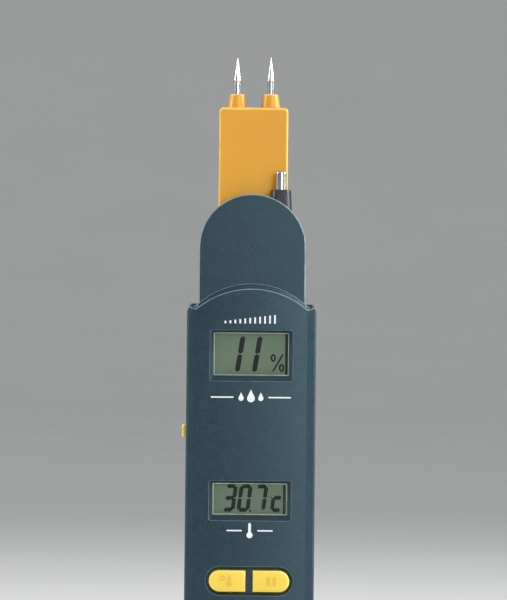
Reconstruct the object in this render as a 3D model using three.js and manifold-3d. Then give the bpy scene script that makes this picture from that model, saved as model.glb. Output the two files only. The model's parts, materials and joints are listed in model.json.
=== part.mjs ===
// Two-pin moisture meter with a swivelling measuring head, built as an assembly of its pieces.
// Millimetres. +Z runs up the meter, the displays face -Y and the bottom end lies on z = 0.

import * as THREE from "three";
import { mergeVertices } from "three/addons/utils/BufferGeometryUtils.js";
import Module from "manifold-3d";

const wasm = await Module();
wasm.setup();

// ---- Outline of the housing ----
const HALF_WIDTH = 21;
const SHOULDER_Z = 131.8;
const SHOULDER_CHAMFER_X = 1;
const SHOULDER_CHAMFER_Z = 2.4;
const CORNER_RADIUS = 6;
const WALL = 2;
const PIVOT_Z = 150;
const DOME_RADIUS = 17.3;
const BACK_PEAK_Z = 133.1; // where the two 45 degree top slopes of the rear half would meet
const BACK_PEAK_RADIUS = 6;

// ---- Depths, from the front (-Y) to the back ----
const PANEL_FACE = -14;
const DOME_FACE = -12.9;
const RECESS_FLOOR = -13.1;
const PANEL_INSIDE = -11.8;
const DOME_INSIDE = -10.9;
const WINDOW_FRONT = -11.6;
const WINDOW_BACK = -11;
const DISPLAY_FRONT = -10.8;
const DISPLAY_BACK = -9.9;
const BOARD_FRONT = -9;
const BOARD_BACK = -8.1;
const PLATE_FRONT = -7.9;
const PLATE_BACK = -6.1;
const THIN_BACK = -6;
const HEAD_FRONT = -5.5;
const PARTING = -2;
const HEAD_SEAM = 1.6;
const HEAD_BACK = 8.5;
const UPPER_BACK = 9;
const LOWER_BACK = 14;

// ---- Clearances ----
const GAP = 0.3; // between neighbouring pieces
const SEAM = 0.1; // each side of a parting line

// ---- Raised lower panel ----
const CROWN_RADIUS = 203;
const DOME_CROWN_RADIUS = 700;
const BAND_X = 18; // where the face meets the sloping side band
const BAND_OUTER_X = 20.4;
const ARCH_RADIUS = 23;
const ARCH_Z = 113.5;
const ARCH_BEVEL_DEPTH = 2;
const ARCH_BEVEL_WIDTH = 3.3;

// ---- Displays: opening centre height, width and height ----
const UPPER_WINDOW = { z: 115.5, width: 24.5, height: 14 };
const LOWER_WINDOW = { z: 68.6, width: 24.3, height: 10.4 };
const WINDOW_BEVEL = { top: 0.75, side: 1.2, bottom: 1.8, depth: 1 };

// ---- Buttons and switch ----
const BUTTON = { x: 7.08, z: 42.1, width: 11.8, height: 6.9, front: -14.4 };
const BUTTON_RECESS = { width: 28.4, height: 9.5, bevel: 1.1 };
const BUTTON_TRAVEL = 0.7;
const KNOB = { z: 90.4, y: -5.8, height: 4.4, depth: 3, proud: 1.3, travel: 3 };

// ---- Measuring head ----
const HEAD_HALF_WIDTH = 11.2;
const HEAD_END_Z = 195.5;
const END_WALL_Z = HEAD_END_Z - 5.3; // the thick end wall holds the electrode sockets
const HEAD_CORNER = 1.3;
const HEAD_WALL = 1.6;
const TUBE_RADIUS = 4.5;
const TUBE_BORE = 2.5;
const TUBE_END = 1.4;
const HUB_BACK = -1;
const ELECTRODE_X = 5.45;
const ELECTRODE_RADIUS = 1.18;
const COLLAR_TOP_Z = HEAD_END_Z + 4.6;
const PIN_FOOT_Z = HEAD_END_Z - 10.3;
const PIN_SHOULDER_Z = HEAD_END_Z + 8.8;
const PIN_TIP_Z = HEAD_END_Z + 16.75;
const SOCKET_FOOT_Z = HEAD_END_Z - 13.3;
const HEAD_SCREW_Z = [166, 186];

// ---- Swivel: angles are clockwise from +Z, seen from the front ----
const SWIVEL_MIN = -135;
const SWIVEL_MAX = 90;
const DETENT_STEP = 45;
const DETENT_RADIUS = 9.5;
const STOP_RADIUS = 6.8;
const STOP_PIN_RADIUS = 1;

// ---- Temperature probe ----
const PROBE_X = 9.05;
const PROBE_Y = -9.4;
const PROBE_RADIUS = 1.78;
const PROBE_TIP_Z = 174.9;
const SOCKET_TOP_Z = 168.8;
const BOARD_TOP_Z = 127;

// ---- Fasteners ----
const CASE_SCREWS = [
  { x: -16.7, z: 100, back: UPPER_BACK },
  { x: 16.7, z: 100, back: UPPER_BACK },
  { x: -16.7, z: 64, back: LOWER_BACK },
  { x: 16.7, z: 64, back: LOWER_BACK },
];
const PLATE_SCREWS = [
  onDial(13.2, -67.5),
  onDial(13.2, 67.5),
  { x: -16.9, z: 118 },
  { x: 16.9, z: 118 },
];

// ---- Battery and its bay ----
const BATTERY = { halfWidth: 13.25, front: -5.7, back: 11.8, bottom: 3, top: 49.4 };
const BAY_TOP_Z = 56;
const DOOR_HALF_WIDTH = 14.1;
const DOOR_TONGUE_X = 15.5;
const DOOR_FRONT = 12.2;
const DOOR_TONGUE_BACK = 13;

const ROUND = 24; // facets in a full turn
const meter = new THREE.Group();

// ---- Solids ----

// A closed three.js geometry as a solid that can be joined and cut.
function solid(geometry) {
  const bare = geometry.clone();
  bare.deleteAttribute("normal");
  bare.deleteAttribute("uv");
  const merged = mergeVertices(bare, 1e-4);
  return new wasm.Manifold(
    new wasm.Mesh({
      numProp: 3,
      vertProperties: merged.attributes.position.array,
      triVerts: new Uint32Array(merged.index.array),
    }),
  );
}

function join(...pieces) {
  return pieces.reduce((whole, piece) => whole.add(piece));
}

function cut(body, ...tools) {
  return tools.reduce((left, tool) => left.subtract(tool), body);
}

// A point at a radius and a clockwise angle in degrees from +Z, around the pivot.
function onDial(radius, degrees) {
  const angle = THREE.MathUtils.degToRad(degrees);
  return { x: radius * Math.sin(angle), z: PIVOT_Z + radius * Math.cos(angle) };
}

function box(x0, x1, y0, y1, z0, z1) {
  const block = new THREE.BoxGeometry(x1 - x0, y1 - y0, z1 - z0);
  return solid(block.translate((x0 + x1) / 2, (y0 + y1) / 2, (z0 + z1) / 2));
}

// A round bar along Y; the radius may change from the front end to the back end.
function barY(x, z, y0, y1, radius, backRadius = radius, facets = ROUND) {
  const bar = new THREE.CylinderGeometry(backRadius, radius, y1 - y0, facets);
  return solid(bar.translate(x, (y0 + y1) / 2, z));
}

// A round bar along Z; the radius may change from the bottom to the top.
function barZ(x, y, z0, z1, radius, topRadius = radius, facets = ROUND) {
  const bar = new THREE.CylinderGeometry(topRadius, radius, z1 - z0, facets);
  return solid(bar.rotateX(Math.PI / 2).translate(x, y, (z0 + z1) / 2));
}

// A profile of [radius, height] points turned around an axis along Z.
function turned(x, y, profile, facets = ROUND) {
  const points = profile.map(([radius, z]) => new THREE.Vector2(radius, z));
  const lathe = new THREE.LatheGeometry(points, facets);
  return solid(lathe.rotateX(Math.PI / 2).translate(x, y, 0));
}

// The outline's points with none that falls on its neighbour, extruded to a depth.
function extruded(outline, depth, curveSegments) {
  const points = outline.getPoints(curveSegments);
  const apart = (point, i) => point.distanceTo(points[(i + 1) % points.length]) > 1e-3;
  const clean = new THREE.Shape(points.filter(apart));
  return new THREE.ExtrudeGeometry(clean, { depth, bevelEnabled: false });
}

// An outline in x and z, given its depth along Y.
function slab(outline, y0, y1, curveSegments = 6) {
  const plate = extruded(outline, y1 - y0, curveSegments);
  return solid(plate.rotateX(Math.PI / 2).translate(0, y1, 0));
}

// A block whose rectangle {x, low, high} at the front differs from the one at its back.
function taperedBox(front, yFront, back, yBack) {
  const corners = [[front, yFront], [back, yBack]].flatMap(([{ x, low, high }, y]) => [
    [-x, y, low],
    [x, y, low],
    [x, y, high],
    [-x, y, high],
  ]);
  const ends = [0, 1, 2, 0, 2, 3, 4, 6, 5, 4, 7, 6];
  const sides = [0, 5, 1, 0, 4, 5, 1, 6, 2, 1, 5, 6, 2, 7, 3, 2, 6, 7, 3, 4, 0, 3, 7, 4];
  const block = new THREE.BufferGeometry();
  block.setAttribute("position", new THREE.BufferAttribute(new Float32Array(corners.flat()), 3));
  block.setIndex([...ends, ...sides]);
  return solid(block);
}

// An outline in x and y, given its height along Z.
function column(outline, z0, z1, curveSegments = 6) {
  return solid(extruded(outline, z1 - z0, curveSegments).translate(0, 0, z0));
}

// A side profile in y and z, given its width along X.
function acrossX(profile, x0, x1) {
  const beam = extruded(profile, x1 - x0, 1);
  const turn = new THREE.Matrix4().makeBasis(
    new THREE.Vector3(0, 1, 0),
    new THREE.Vector3(0, 0, 1),
    new THREE.Vector3(1, 0, 0),
  );
  return solid(beam.applyMatrix4(turn).translate(x0, 0, 0));
}

// A round wire along a smooth curve through the given points.
function wire(points, radius, steps, facets = 8) {
  const section = new THREE.Shape().absarc(0, 0, radius, 0, 2 * Math.PI, false);
  const curve = new THREE.CatmullRomCurve3(points.map((point) => new THREE.Vector3(...point)));
  const options = { extrudePath: curve, steps, curveSegments: facets / 2, bevelEnabled: false };
  return solid(new THREE.ExtrudeGeometry(section, options));
}

// ---- Outlines ----

function polygon(points) {
  return new THREE.Shape(points.map(([a, b]) => new THREE.Vector2(a, b)));
}

function roundedRectangle(x, z, width, height, radius) {
  const left = x - width / 2 + radius;
  const right = x + width / 2 - radius;
  const low = z - height / 2 + radius;
  const high = z + height / 2 - radius;
  return new THREE.Shape()
    .absarc(right, low, radius, -Math.PI / 2, 0, false)
    .absarc(right, high, radius, 0, Math.PI / 2, false)
    .absarc(left, high, radius, Math.PI / 2, Math.PI, false)
    .absarc(left, low, radius, Math.PI, 1.5 * Math.PI, false);
}

// The front view of the housing: a body with rounded bottom corners and chamfered shoulders.
function bodyOutline(inset) {
  const half = HALF_WIDTH - inset;
  const radius = CORNER_RADIUS - inset;
  const top = SHOULDER_Z - inset;
  return new THREE.Shape()
    .absarc(-half + radius, inset + radius, radius, Math.PI, 1.5 * Math.PI, false)
    .absarc(half - radius, inset + radius, radius, -Math.PI / 2, 0, false)
    .lineTo(half, top - SHOULDER_CHAMFER_Z)
    .lineTo(half - SHOULDER_CHAMFER_X, top)
    .lineTo(-half + SHOULDER_CHAMFER_X, top)
    .lineTo(-half, top - SHOULDER_CHAMFER_Z);
}

// The dome: a half round around the pivot with straight sides down to a given height.
function domeOutline(radius, bottom) {
  return new THREE.Shape()
    .moveTo(-radius, bottom)
    .lineTo(radius, bottom)
    .absarc(0, PIVOT_Z, radius, 0, Math.PI, false);
}

// Everything above the rear half's rounded peak and its two slopes.
function abovePeak(drop) {
  const peak = BACK_PEAK_Z - drop;
  const radius = BACK_PEAK_RADIUS;
  const far = 2 * HALF_WIDTH;
  return new THREE.Shape()
    .absarc(0, peak - radius * Math.SQRT2, radius, 0.75 * Math.PI, 0.25 * Math.PI, true)
    .lineTo(far, peak - far)
    .lineTo(far, PIVOT_Z + far)
    .lineTo(-far, PIVOT_Z + far)
    .lineTo(-far, peak - far);
}

// The cross-section of the lower panel: crowned face, sloping side bands, plain walls.
function panelSection() {
  const spread = Math.asin(BAND_X / CROWN_RADIUS);
  const centre = PANEL_FACE + CROWN_RADIUS;
  const front = -Math.PI / 2;
  return new THREE.Shape()
    .moveTo(-HALF_WIDTH, PARTING - SEAM)
    .lineTo(-HALF_WIDTH, -11.2)
    .lineTo(-BAND_OUTER_X, -11.9)
    .absarc(0, centre, CROWN_RADIUS, front - spread, front + spread, false)
    .lineTo(BAND_OUTER_X, -11.9)
    .lineTo(HALF_WIDTH, -11.2)
    .lineTo(HALF_WIDTH, PARTING - SEAM);
}

function domeSection() {
  const spread = Math.asin(DOME_RADIUS / DOME_CROWN_RADIUS);
  const centre = DOME_FACE + DOME_CROWN_RADIUS;
  const front = -Math.PI / 2;
  return new THREE.Shape()
    .absarc(0, centre, DOME_CROWN_RADIUS, front - spread, front + spread, false)
    .lineTo(DOME_RADIUS, THIN_BACK)
    .lineTo(-DOME_RADIUS, THIN_BACK);
}

// ---- Materials and pieces ----

function plastic(color, roughness = 0.45) {
  return { color, roughness, metalness: 0 };
}

function metal(color, roughness = 0.2) {
  return { color, roughness, metalness: 1 };
}

const SLATE = plastic(0x3a4b55);
const YELLOW = plastic(0xdea838);
const BUTTON_YELLOW = plastic(0xf5d75f);
const CHROME = metal(0xe4e6e8, 0.12);
const STEEL = metal(0xb4b6b8, 0.3);
const BRASS = metal(0xc9a24a, 0.3);
const CLEAR = plastic(0xe8f0ee, 0.05);
const LCD_GREEN = plastic(0x6e8a6c, 0.25);
const RUBBER = plastic(0x2b2b2d, 0.8);
const BOARD_GREEN = plastic(0x1f5a3a, 0.5);
const CHIP_BLACK = plastic(0x1b1b1d, 0.5);
const BATTERY_SKIN = plastic(0x55585c, 0.35);

// Turns a solid into a named mesh of the assembly.
function addPiece(name, body, look) {
  const made = body.getMesh();
  const geometry = new THREE.BufferGeometry();
  geometry.setAttribute("position", new THREE.BufferAttribute(made.vertProperties, 3));
  geometry.setIndex(new THREE.BufferAttribute(made.triVerts, 1));
  geometry.computeVertexNormals();
  const mesh = new THREE.Mesh(geometry, new THREE.MeshStandardMaterial(look));
  mesh.name = name;
  meter.add(mesh);
}

// ---- Front cover ----

// A bevelled recess that narrows to an opening through the front wall.
function windowCut(opening) {
  const { top, side, bottom, depth } = WINDOW_BEVEL;
  const x = opening.width / 2;
  const low = opening.z - opening.height / 2;
  const high = opening.z + opening.height / 2;
  const mouth = { x: x + 2 * side, low: low - 2 * bottom, high: high + 2 * top };
  const throat = { x, low, high };
  const funnel = taperedBox(mouth, PANEL_FACE - depth, throat, PANEL_FACE + depth);
  return join(funnel, box(-x, x, PANEL_FACE, PANEL_INSIDE + 1, low, high));
}

// The front view of one button: round at its outer end, square at its inner end.
function buttonOutline(side, grow) {
  const inner = side * (BUTTON.x - BUTTON.width / 2 - grow);
  const radius = BUTTON.height / 2 + grow;
  const centre = side * (BUTTON.x + BUTTON.width / 2 - BUTTON.height / 2);
  const start = side > 0 ? -Math.PI / 2 : Math.PI / 2;
  return new THREE.Shape()
    .absarc(centre, BUTTON.z, radius, start, start + Math.PI, false)
    .lineTo(inner, BUTTON.z + side * radius)
    .lineTo(inner, BUTTON.z - side * radius);
}

// A shared recess with round ends and sloping sides, and one hole for each button.
function buttonCuts() {
  const { width, height, bevel } = BUTTON_RECESS;
  const reach = width / 2 - height / 2;
  const depth = RECESS_FLOOR - PANEL_FACE;
  const mouth = height / 2 + bevel;
  const floor = height / 2 - bevel;
  const section = (half) => ({ x: reach, low: BUTTON.z - half, high: BUTTON.z + half });
  const front = PANEL_FACE - depth;
  const middle = taperedBox(section(mouth), front, section(floor), RECESS_FLOOR);
  const ends = [-reach, reach].map((x) => barY(x, BUTTON.z, front, RECESS_FLOOR, mouth, floor, 40));
  const holes = [-1, 1].map((side) => slab(buttonOutline(side, GAP), PANEL_FACE, PANEL_INSIDE + 1));
  return [join(middle, ...ends), ...holes];
}

// The slot that the switch knob slides in, through the left wall.
function knobSlot() {
  const half = KNOB.height / 2 + GAP;
  const reach = KNOB.depth / 2 + GAP;
  return box(
    -HALF_WIDTH - 1,
    -HALF_WIDTH + WALL + 1,
    KNOB.y - reach,
    KNOB.y + reach,
    KNOB.z - half - KNOB.travel,
    KNOB.z + half,
  );
}

// The lower panel's top: a half round whose edge slopes back, on straight sides.
function archedTop() {
  const foot = PANEL_FACE + ARCH_BEVEL_DEPTH;
  const outer = ARCH_RADIUS + ARCH_BEVEL_WIDTH;
  return join(
    barY(0, ARCH_Z, PANEL_FACE, foot, ARCH_RADIUS, outer, 72),
    barY(0, ARCH_Z, foot, PARTING, outer, outer, 72),
    box(-HALF_WIDTH - 1, HALF_WIDTH + 1, PANEL_FACE - 1, PARTING, -1, ARCH_Z),
  );
}

function frontCover() {
  const far = 2 * HALF_WIDTH;
  const panel = column(panelSection(), 0, PIVOT_Z, 8).intersect(archedTop());
  const dome = column(domeSection(), SHOULDER_Z - 20, PIVOT_Z + far)
    .intersect(slab(domeOutline(DOME_RADIUS, SHOULDER_Z - 20), DOME_FACE - 1, THIN_BACK, 14));
  const silhouette = join(
    slab(bodyOutline(0), PANEL_FACE - 1, PARTING),
    slab(domeOutline(DOME_RADIUS, SHOULDER_Z - 20), PANEL_FACE - 1, PARTING, 14),
  );
  const outside = join(panel, dome).intersect(silhouette);

  const belowPeak = cut(
    slab(bodyOutline(WALL), THIN_BACK - GAP, PARTING + 1),
    slab(abovePeak(WALL * Math.SQRT2), THIN_BACK - 1, PARTING + 2),
  );
  const shell = cut(
    outside,
    slab(abovePeak(0), THIN_BACK, PARTING + 1),
    slab(bodyOutline(WALL), PANEL_INSIDE, THIN_BACK),
    slab(domeOutline(DOME_RADIUS - WALL, SHOULDER_Z - 20), DOME_INSIDE, THIN_BACK + 1, 10),
    belowPeak,
  );

  const postFoot = PANEL_INSIDE - 0.5;
  const casePosts = CASE_SCREWS.map(({ x, z }) => barY(x, z, postFoot, PARTING - SEAM, 2.6));
  const platePosts = PLATE_SCREWS.map(({ x, z }) => barY(x, z, postFoot, PLATE_FRONT - GAP, 2.2));
  const pilots = [
    ...CASE_SCREWS.map(({ x, z }) => barY(x, z, -9, PARTING + 1, 1.4)),
    ...PLATE_SCREWS.map(({ x, z }) => barY(x, z, -11, PLATE_FRONT + 1, 1, 1, 16)),
  ];
  return cut(
    join(shell, ...casePosts, ...platePosts),
    ...pilots,
    windowCut(UPPER_WINDOW),
    windowCut(LOWER_WINDOW),
    ...buttonCuts(),
    knobSlot(),
    barZ(PROBE_X, PROBE_Y, PIVOT_Z, PIVOT_Z + far, 1.75),
  );
}

// ---- Rear cover and battery door ----

// The side profile: flat upper back, a slope, and a deeper lower back for the battery.
function backProfile(inset) {
  return polygon([
    [PARTING + SEAM, inset],
    [LOWER_BACK - inset, inset],
    [LOWER_BACK - inset, 78 - inset / 2],
    [UPPER_BACK - inset, 92 - inset / 2],
    [UPPER_BACK - inset, SHOULDER_Z + 20],
    [PARTING + SEAM, SHOULDER_Z + 20],
  ]);
}

function rearShell(inset, drop) {
  const profile = acrossX(backProfile(inset), -HALF_WIDTH, HALF_WIDTH);
  const outline = slab(bodyOutline(inset), PARTING - 1, LOWER_BACK + 1);
  return cut(profile.intersect(outline), slab(abovePeak(drop), PARTING - 2, LOWER_BACK + 2));
}

function doorOpening() {
  const narrow = DOOR_HALF_WIDTH + GAP;
  const wide = DOOR_TONGUE_X + GAP;
  return join(
    box(-narrow, narrow, DOOR_FRONT - 2, LOWER_BACK + 1, WALL, BAY_TOP_Z - 1),
    box(-narrow, narrow, DOOR_FRONT - GAP, LOWER_BACK + 1, -1, BAY_TOP_Z - 1),
    box(-wide, wide, DOOR_FRONT - GAP, DOOR_TONGUE_BACK + GAP, -1, BAY_TOP_Z - 1),
  );
}

function rearCover() {
  const mouth = box(-19, 19, PARTING, PARTING + 0.5, 8, 100);
  const hollow = join(rearShell(WALL, WALL * Math.SQRT2), mouth);
  const shell = cut(rearShell(0, 0), hollow);
  const columns = CASE_SCREWS.map(({ x, z, back }) => barY(x, z, PARTING + SEAM, back - 1, 3));
  const divider = box(-19.5, 19.5, PARTING + SEAM, LOWER_BACK - 1, BAY_TOP_Z, BAY_TOP_Z + 1.4);
  const rails = [-1, 1].map((side) => {
    const inner = side * (BATTERY.halfWidth + 0.6);
    const outer = side * (HALF_WIDTH - 1);
    return box(Math.min(inner, outer), Math.max(inner, outer), 10.4, 12.5, 1, BAY_TOP_Z + 0.5);
  });
  const screwHoles = CASE_SCREWS.flatMap(({ x, z, back }) => [
    barY(x, z, PARTING - 1, back, 1.5),
    barY(x, z, back - 3.2, back + 1, 2.4),
  ]);
  return cut(join(shell, ...columns, divider, ...rails), doorOpening(), ...screwHoles);
}

function batteryDoor() {
  const top = BAY_TOP_Z - 1 - GAP;
  const plate = box(-DOOR_HALF_WIDTH, DOOR_HALF_WIDTH, DOOR_FRONT, LOWER_BACK, 0, top);
  const tongues = box(-DOOR_TONGUE_X, DOOR_TONGUE_X, DOOR_FRONT, DOOR_TONGUE_BACK, 0, top - 4);
  const grooves = [0, 1, 2, 3, 4].map((row) => {
    const z = 38 + 2.4 * row;
    return box(-7, 7, LOWER_BACK - 0.6, LOWER_BACK + 1, z, z + 1.2);
  });
  return cut(join(plate, tongues), ...grooves);
}

// ---- Swivel ----

// The arc slot that the head's stop pin runs in; its ends stop the head.
function stopSlot() {
  const halfWidth = STOP_PIN_RADIUS + GAP;
  // The pin stands opposite the electrodes. Shape angles run anticlockwise from +X.
  const first = THREE.MathUtils.degToRad(90 - (180 + SWIVEL_MIN));
  const last = THREE.MathUtils.degToRad(90 - (180 + SWIVEL_MAX));
  const ends = [180 + SWIVEL_MIN, 180 + SWIVEL_MAX].map((angle) => {
    const { x, z } = onDial(STOP_RADIUS, angle);
    return barY(x, z, PLATE_FRONT - 1, PLATE_BACK + 1, halfWidth);
  });
  const arc = new THREE.Shape()
    .absarc(0, PIVOT_Z, STOP_RADIUS + halfWidth, first, last, true)
    .absarc(0, PIVOT_Z, STOP_RADIUS - halfWidth, last, first, false);
  return join(slab(arc, PLATE_FRONT - 1, PLATE_BACK + 1, 12), ...ends);
}

function detentDimples() {
  const count = (SWIVEL_MAX - SWIVEL_MIN) / DETENT_STEP + 1;
  return Array.from({ length: count }, (_, step) => {
    const { x, z } = onDial(DETENT_RADIUS, SWIVEL_MIN + step * DETENT_STEP);
    return barY(x, z, PLATE_BACK - 0.5, PLATE_BACK + 0.2, 0.5, 1.2, 16);
  });
}

// The plate closes the back of the thin upper part and carries the hollow pivot tube.
function pivotPlate() {
  const lower = cut(
    slab(bodyOutline(WALL + GAP), PLATE_FRONT, PLATE_BACK),
    box(-HALF_WIDTH, HALF_WIDTH, PLATE_FRONT - 1, PLATE_BACK + 1, -1, 111),
  );
  const upper = slab(domeOutline(DOME_RADIUS - WALL - GAP, 125), PLATE_FRONT, PLATE_BACK, 10);
  const tube = barY(0, PIVOT_Z, PLATE_FRONT, TUBE_END, TUBE_RADIUS);
  const groove = cut(barY(0, PIVOT_Z, -0.2, 1.1, 6), barY(0, PIVOT_Z, -1, 2, 3.7));
  const screwHoles = PLATE_SCREWS.flatMap(({ x, z }) => [
    barY(x, z, PLATE_FRONT - 1, PLATE_BACK + 1, 1, 1, 16),
    barY(x, z, PLATE_BACK - 1.1, PLATE_BACK + 1, 1.9, 1.9, 20),
  ]);
  return cut(
    join(lower, upper, tube),
    barY(0, PIVOT_Z, PLATE_FRONT - 1, TUBE_END + 1, TUBE_BORE),
    groove,
    stopSlot(),
    ...detentDimples(),
    ...screwHoles,
  );
}

function ring(y0, y1, outer, inner) {
  return cut(barY(0, PIVOT_Z, y0, y1, outer), barY(0, PIVOT_Z, y0 - 1, y1 + 1, inner));
}

// An open ring that snaps into the groove at the end of the tube.
function retainingRing() {
  const mouth = box(-1.6, 1.6, 0, 2, PIVOT_Z - 8, PIVOT_Z);
  return cut(ring(0.1, 0.8, 6.6, 4), mouth);
}

// A flat washer bent into three waves.
function waveWasher() {
  const outline = new THREE.Shape().absarc(0, 0, 6.8, 0, 2 * Math.PI, false);
  outline.holes.push(new THREE.Path().absarc(0, 0, 4.9, 0, 2 * Math.PI, true));
  const options = { depth: 0.3, bevelEnabled: false, curveSegments: 18 };
  const flat = new THREE.ExtrudeGeometry(outline, options);
  const place = flat.attributes.position;
  for (let i = 0; i < place.count; i++) {
    const turn = Math.atan2(place.getY(i), place.getX(i));
    place.setZ(i, place.getZ(i) + 0.12 * Math.sin(3 * turn));
  }
  return solid(flat.rotateX(Math.PI / 2).translate(0, -0.3, PIVOT_Z));
}

// ---- Measuring head ----

// The front view of the head: round about the pivot, square with small corners at its far end.
function headOutline(inset) {
  const half = HEAD_HALF_WIDTH - inset;
  const corner = Math.max(HEAD_CORNER - inset, 0.3);
  const top = HEAD_END_Z - inset;
  return new THREE.Shape()
    .absarc(0, PIVOT_Z, half, Math.PI, 2 * Math.PI, false)
    .absarc(half - corner, top - corner, corner, 0, Math.PI / 2, false)
    .absarc(-half + corner, top - corner, corner, Math.PI / 2, Math.PI, false);
}

// The room inside the head, which stops short of the thick end wall that holds the sockets.
function headHollow(y0, y1) {
  const room = slab(headOutline(HEAD_WALL), y0, y1);
  return cut(room, box(-12, 12, y0 - 1, y1 + 1, END_WALL_Z, HEAD_END_Z + 5));
}

function socketHoles() {
  const foot = SOCKET_FOOT_Z - 1;
  return [-1, 1].map((side) => barZ(side * ELECTRODE_X, HEAD_SEAM, foot, HEAD_END_Z + 1, 2.3));
}

function headFrontShell() {
  const back = HEAD_SEAM - SEAM;
  const room = headHollow(HEAD_FRONT + HEAD_WALL, back + 1);
  const tray = cut(slab(headOutline(0), HEAD_FRONT, back), room);
  const hub = barY(0, PIVOT_Z, HEAD_FRONT, HUB_BACK, 7.6);
  const ballHousing = barY(0, PIVOT_Z + DETENT_RADIUS, HEAD_FRONT, -0.2, 2.7);
  const pin = onDial(STOP_RADIUS, 180);
  const stopPin = barY(pin.x, pin.z, PLATE_FRONT + 0.6, HEAD_FRONT + 1, STOP_PIN_RADIUS);
  const posts = HEAD_SCREW_Z.map((z) => barY(0, z, HEAD_FRONT, back, 2.6));
  const pilots = HEAD_SCREW_Z.map((z) => barY(0, z, -4, back + 1, 1.05, 1.05, 16));
  return cut(
    join(tray, hub, ballHousing, stopPin, ...posts),
    barY(0, PIVOT_Z, HEAD_FRONT - 3, back, TUBE_RADIUS + GAP),
    barY(0, PIVOT_Z, HUB_BACK, back + 1, 7.2),
    barY(0, PIVOT_Z + DETENT_RADIUS, HEAD_FRONT - 1, -0.9, 1.55),
    ...pilots,
    ...socketHoles(),
  );
}

function headRearShell() {
  const front = HEAD_SEAM + SEAM;
  const room = headHollow(front - 1, HEAD_BACK - HEAD_WALL);
  const tray = cut(slab(headOutline(0), front, HEAD_BACK), room);
  const bosses = HEAD_SCREW_Z.map((z) => barY(0, z, front, HEAD_BACK - 0.5, 3.2));
  const holes = HEAD_SCREW_Z.flatMap((z) => [
    barY(0, z, front - 1, HEAD_BACK, 1.1, 1.1, 16),
    barY(0, z, HEAD_BACK - 2, HEAD_BACK + 1, 2.2),
  ]);
  return cut(join(tray, ...bosses), ...holes, ...socketHoles());
}

function electrodeCollar(side) {
  const x = side * ELECTRODE_X;
  const foot = HEAD_END_Z + SEAM;
  return cut(
    barZ(x, HEAD_SEAM, foot, COLLAR_TOP_Z, 3.15, 2.43),
    barZ(x, HEAD_SEAM, foot - 1, COLLAR_TOP_Z + 1, ELECTRODE_RADIUS + GAP),
  );
}

// A pin with a threaded foot, a round shank and a long sharp cone.
function electrode(side) {
  return turned(side * ELECTRODE_X, HEAD_SEAM, [
    [0, PIN_FOOT_Z],
    [0.9, PIN_FOOT_Z],
    [0.9, HEAD_END_Z - 0.7],
    [ELECTRODE_RADIUS, HEAD_END_Z + 0.3],
    [ELECTRODE_RADIUS, PIN_SHOULDER_Z],
    [ELECTRODE_RADIUS + 0.07, PIN_SHOULDER_Z + 0.3],
    [0, PIN_TIP_Z],
  ], 24);
}

function electrodeSocket(side) {
  const x = side * ELECTRODE_X;
  const bore = barZ(x, HEAD_SEAM, SOCKET_FOOT_Z + 2, HEAD_END_Z + 1, 1.25, 1.25, 20);
  return cut(barZ(x, HEAD_SEAM, SOCKET_FOOT_Z, HEAD_END_Z - 0.3, 2), bore);
}

// From the socket down beside the hub, over the end of the pivot tube and into its bore.
function electrodeLead(side) {
  const x = side * ELECTRODE_X;
  return wire([
    [x, HEAD_SEAM, SOCKET_FOOT_Z - 0.4],
    [x, 2.6, SOCKET_FOOT_Z - 5],
    [x, 3.6, 168],
    [side * 4.6, 3.8, 158],
    [side * 1.6, 3.4, 151.6],
    [side * 0.9, 1.4, PIVOT_Z],
    [side * 0.9, 0, PIVOT_Z],
  ], 0.5, 22);
}

// The lead inside the housing, from the pivot tube to the top of the main board.
function pivotLead() {
  return wire([
    [0, -2, PIVOT_Z],
    [0, -5, PIVOT_Z],
    [0, -8.4, 149],
    [0, -9.4, 145],
    [0, -9.4, 135],
    [0, -9.4, BOARD_TOP_Z + GAP],
  ], 0.8, 24);
}

function detentSpring() {
  const turns = 4;
  const steps = 10 * turns;
  const points = Array.from({ length: steps + 1 }, (_, step) => {
    const angle = (2 * Math.PI * step) / 10;
    const y = -2.9 + (1.7 * step) / steps;
    return [Math.cos(angle), y, PIVOT_Z + DETENT_RADIUS + Math.sin(angle)];
  });
  return wire(points, 0.16, steps, 6);
}

function detentBall() {
  const ball = new THREE.SphereGeometry(1.25, 16, 12);
  return solid(ball.translate(0, -4.5, PIVOT_Z + DETENT_RADIUS));
}

// ---- Temperature probe ----

// A tapered socket that sits on the dome's rim, with a neck through the wall.
function sensorSocket() {
  const cone = barZ(PROBE_X, PROBE_Y, PIVOT_Z + 9, SOCKET_TOP_Z, 3.85, 3.2);
  const rim = barY(0, PIVOT_Z, -20, 0, DOME_RADIUS + 0.15, DOME_RADIUS + 0.15, 56);
  const depth = box(0, 20, -12.5, -6.2, PIVOT_Z, SOCKET_TOP_Z + 1);
  const neck = barZ(PROBE_X, PROBE_Y, 159, SOCKET_TOP_Z - 2, 1.45, 1.45, 20);
  return cut(
    join(cut(cone, rim).intersect(depth), neck),
    barZ(PROBE_X, PROBE_Y, SOCKET_TOP_Z - 2.9, SOCKET_TOP_Z + 1, PROBE_RADIUS + GAP / 2),
    barZ(PROBE_X, PROBE_Y, 158, SOCKET_TOP_Z, 0.85, 0.85, 16),
  );
}

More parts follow.
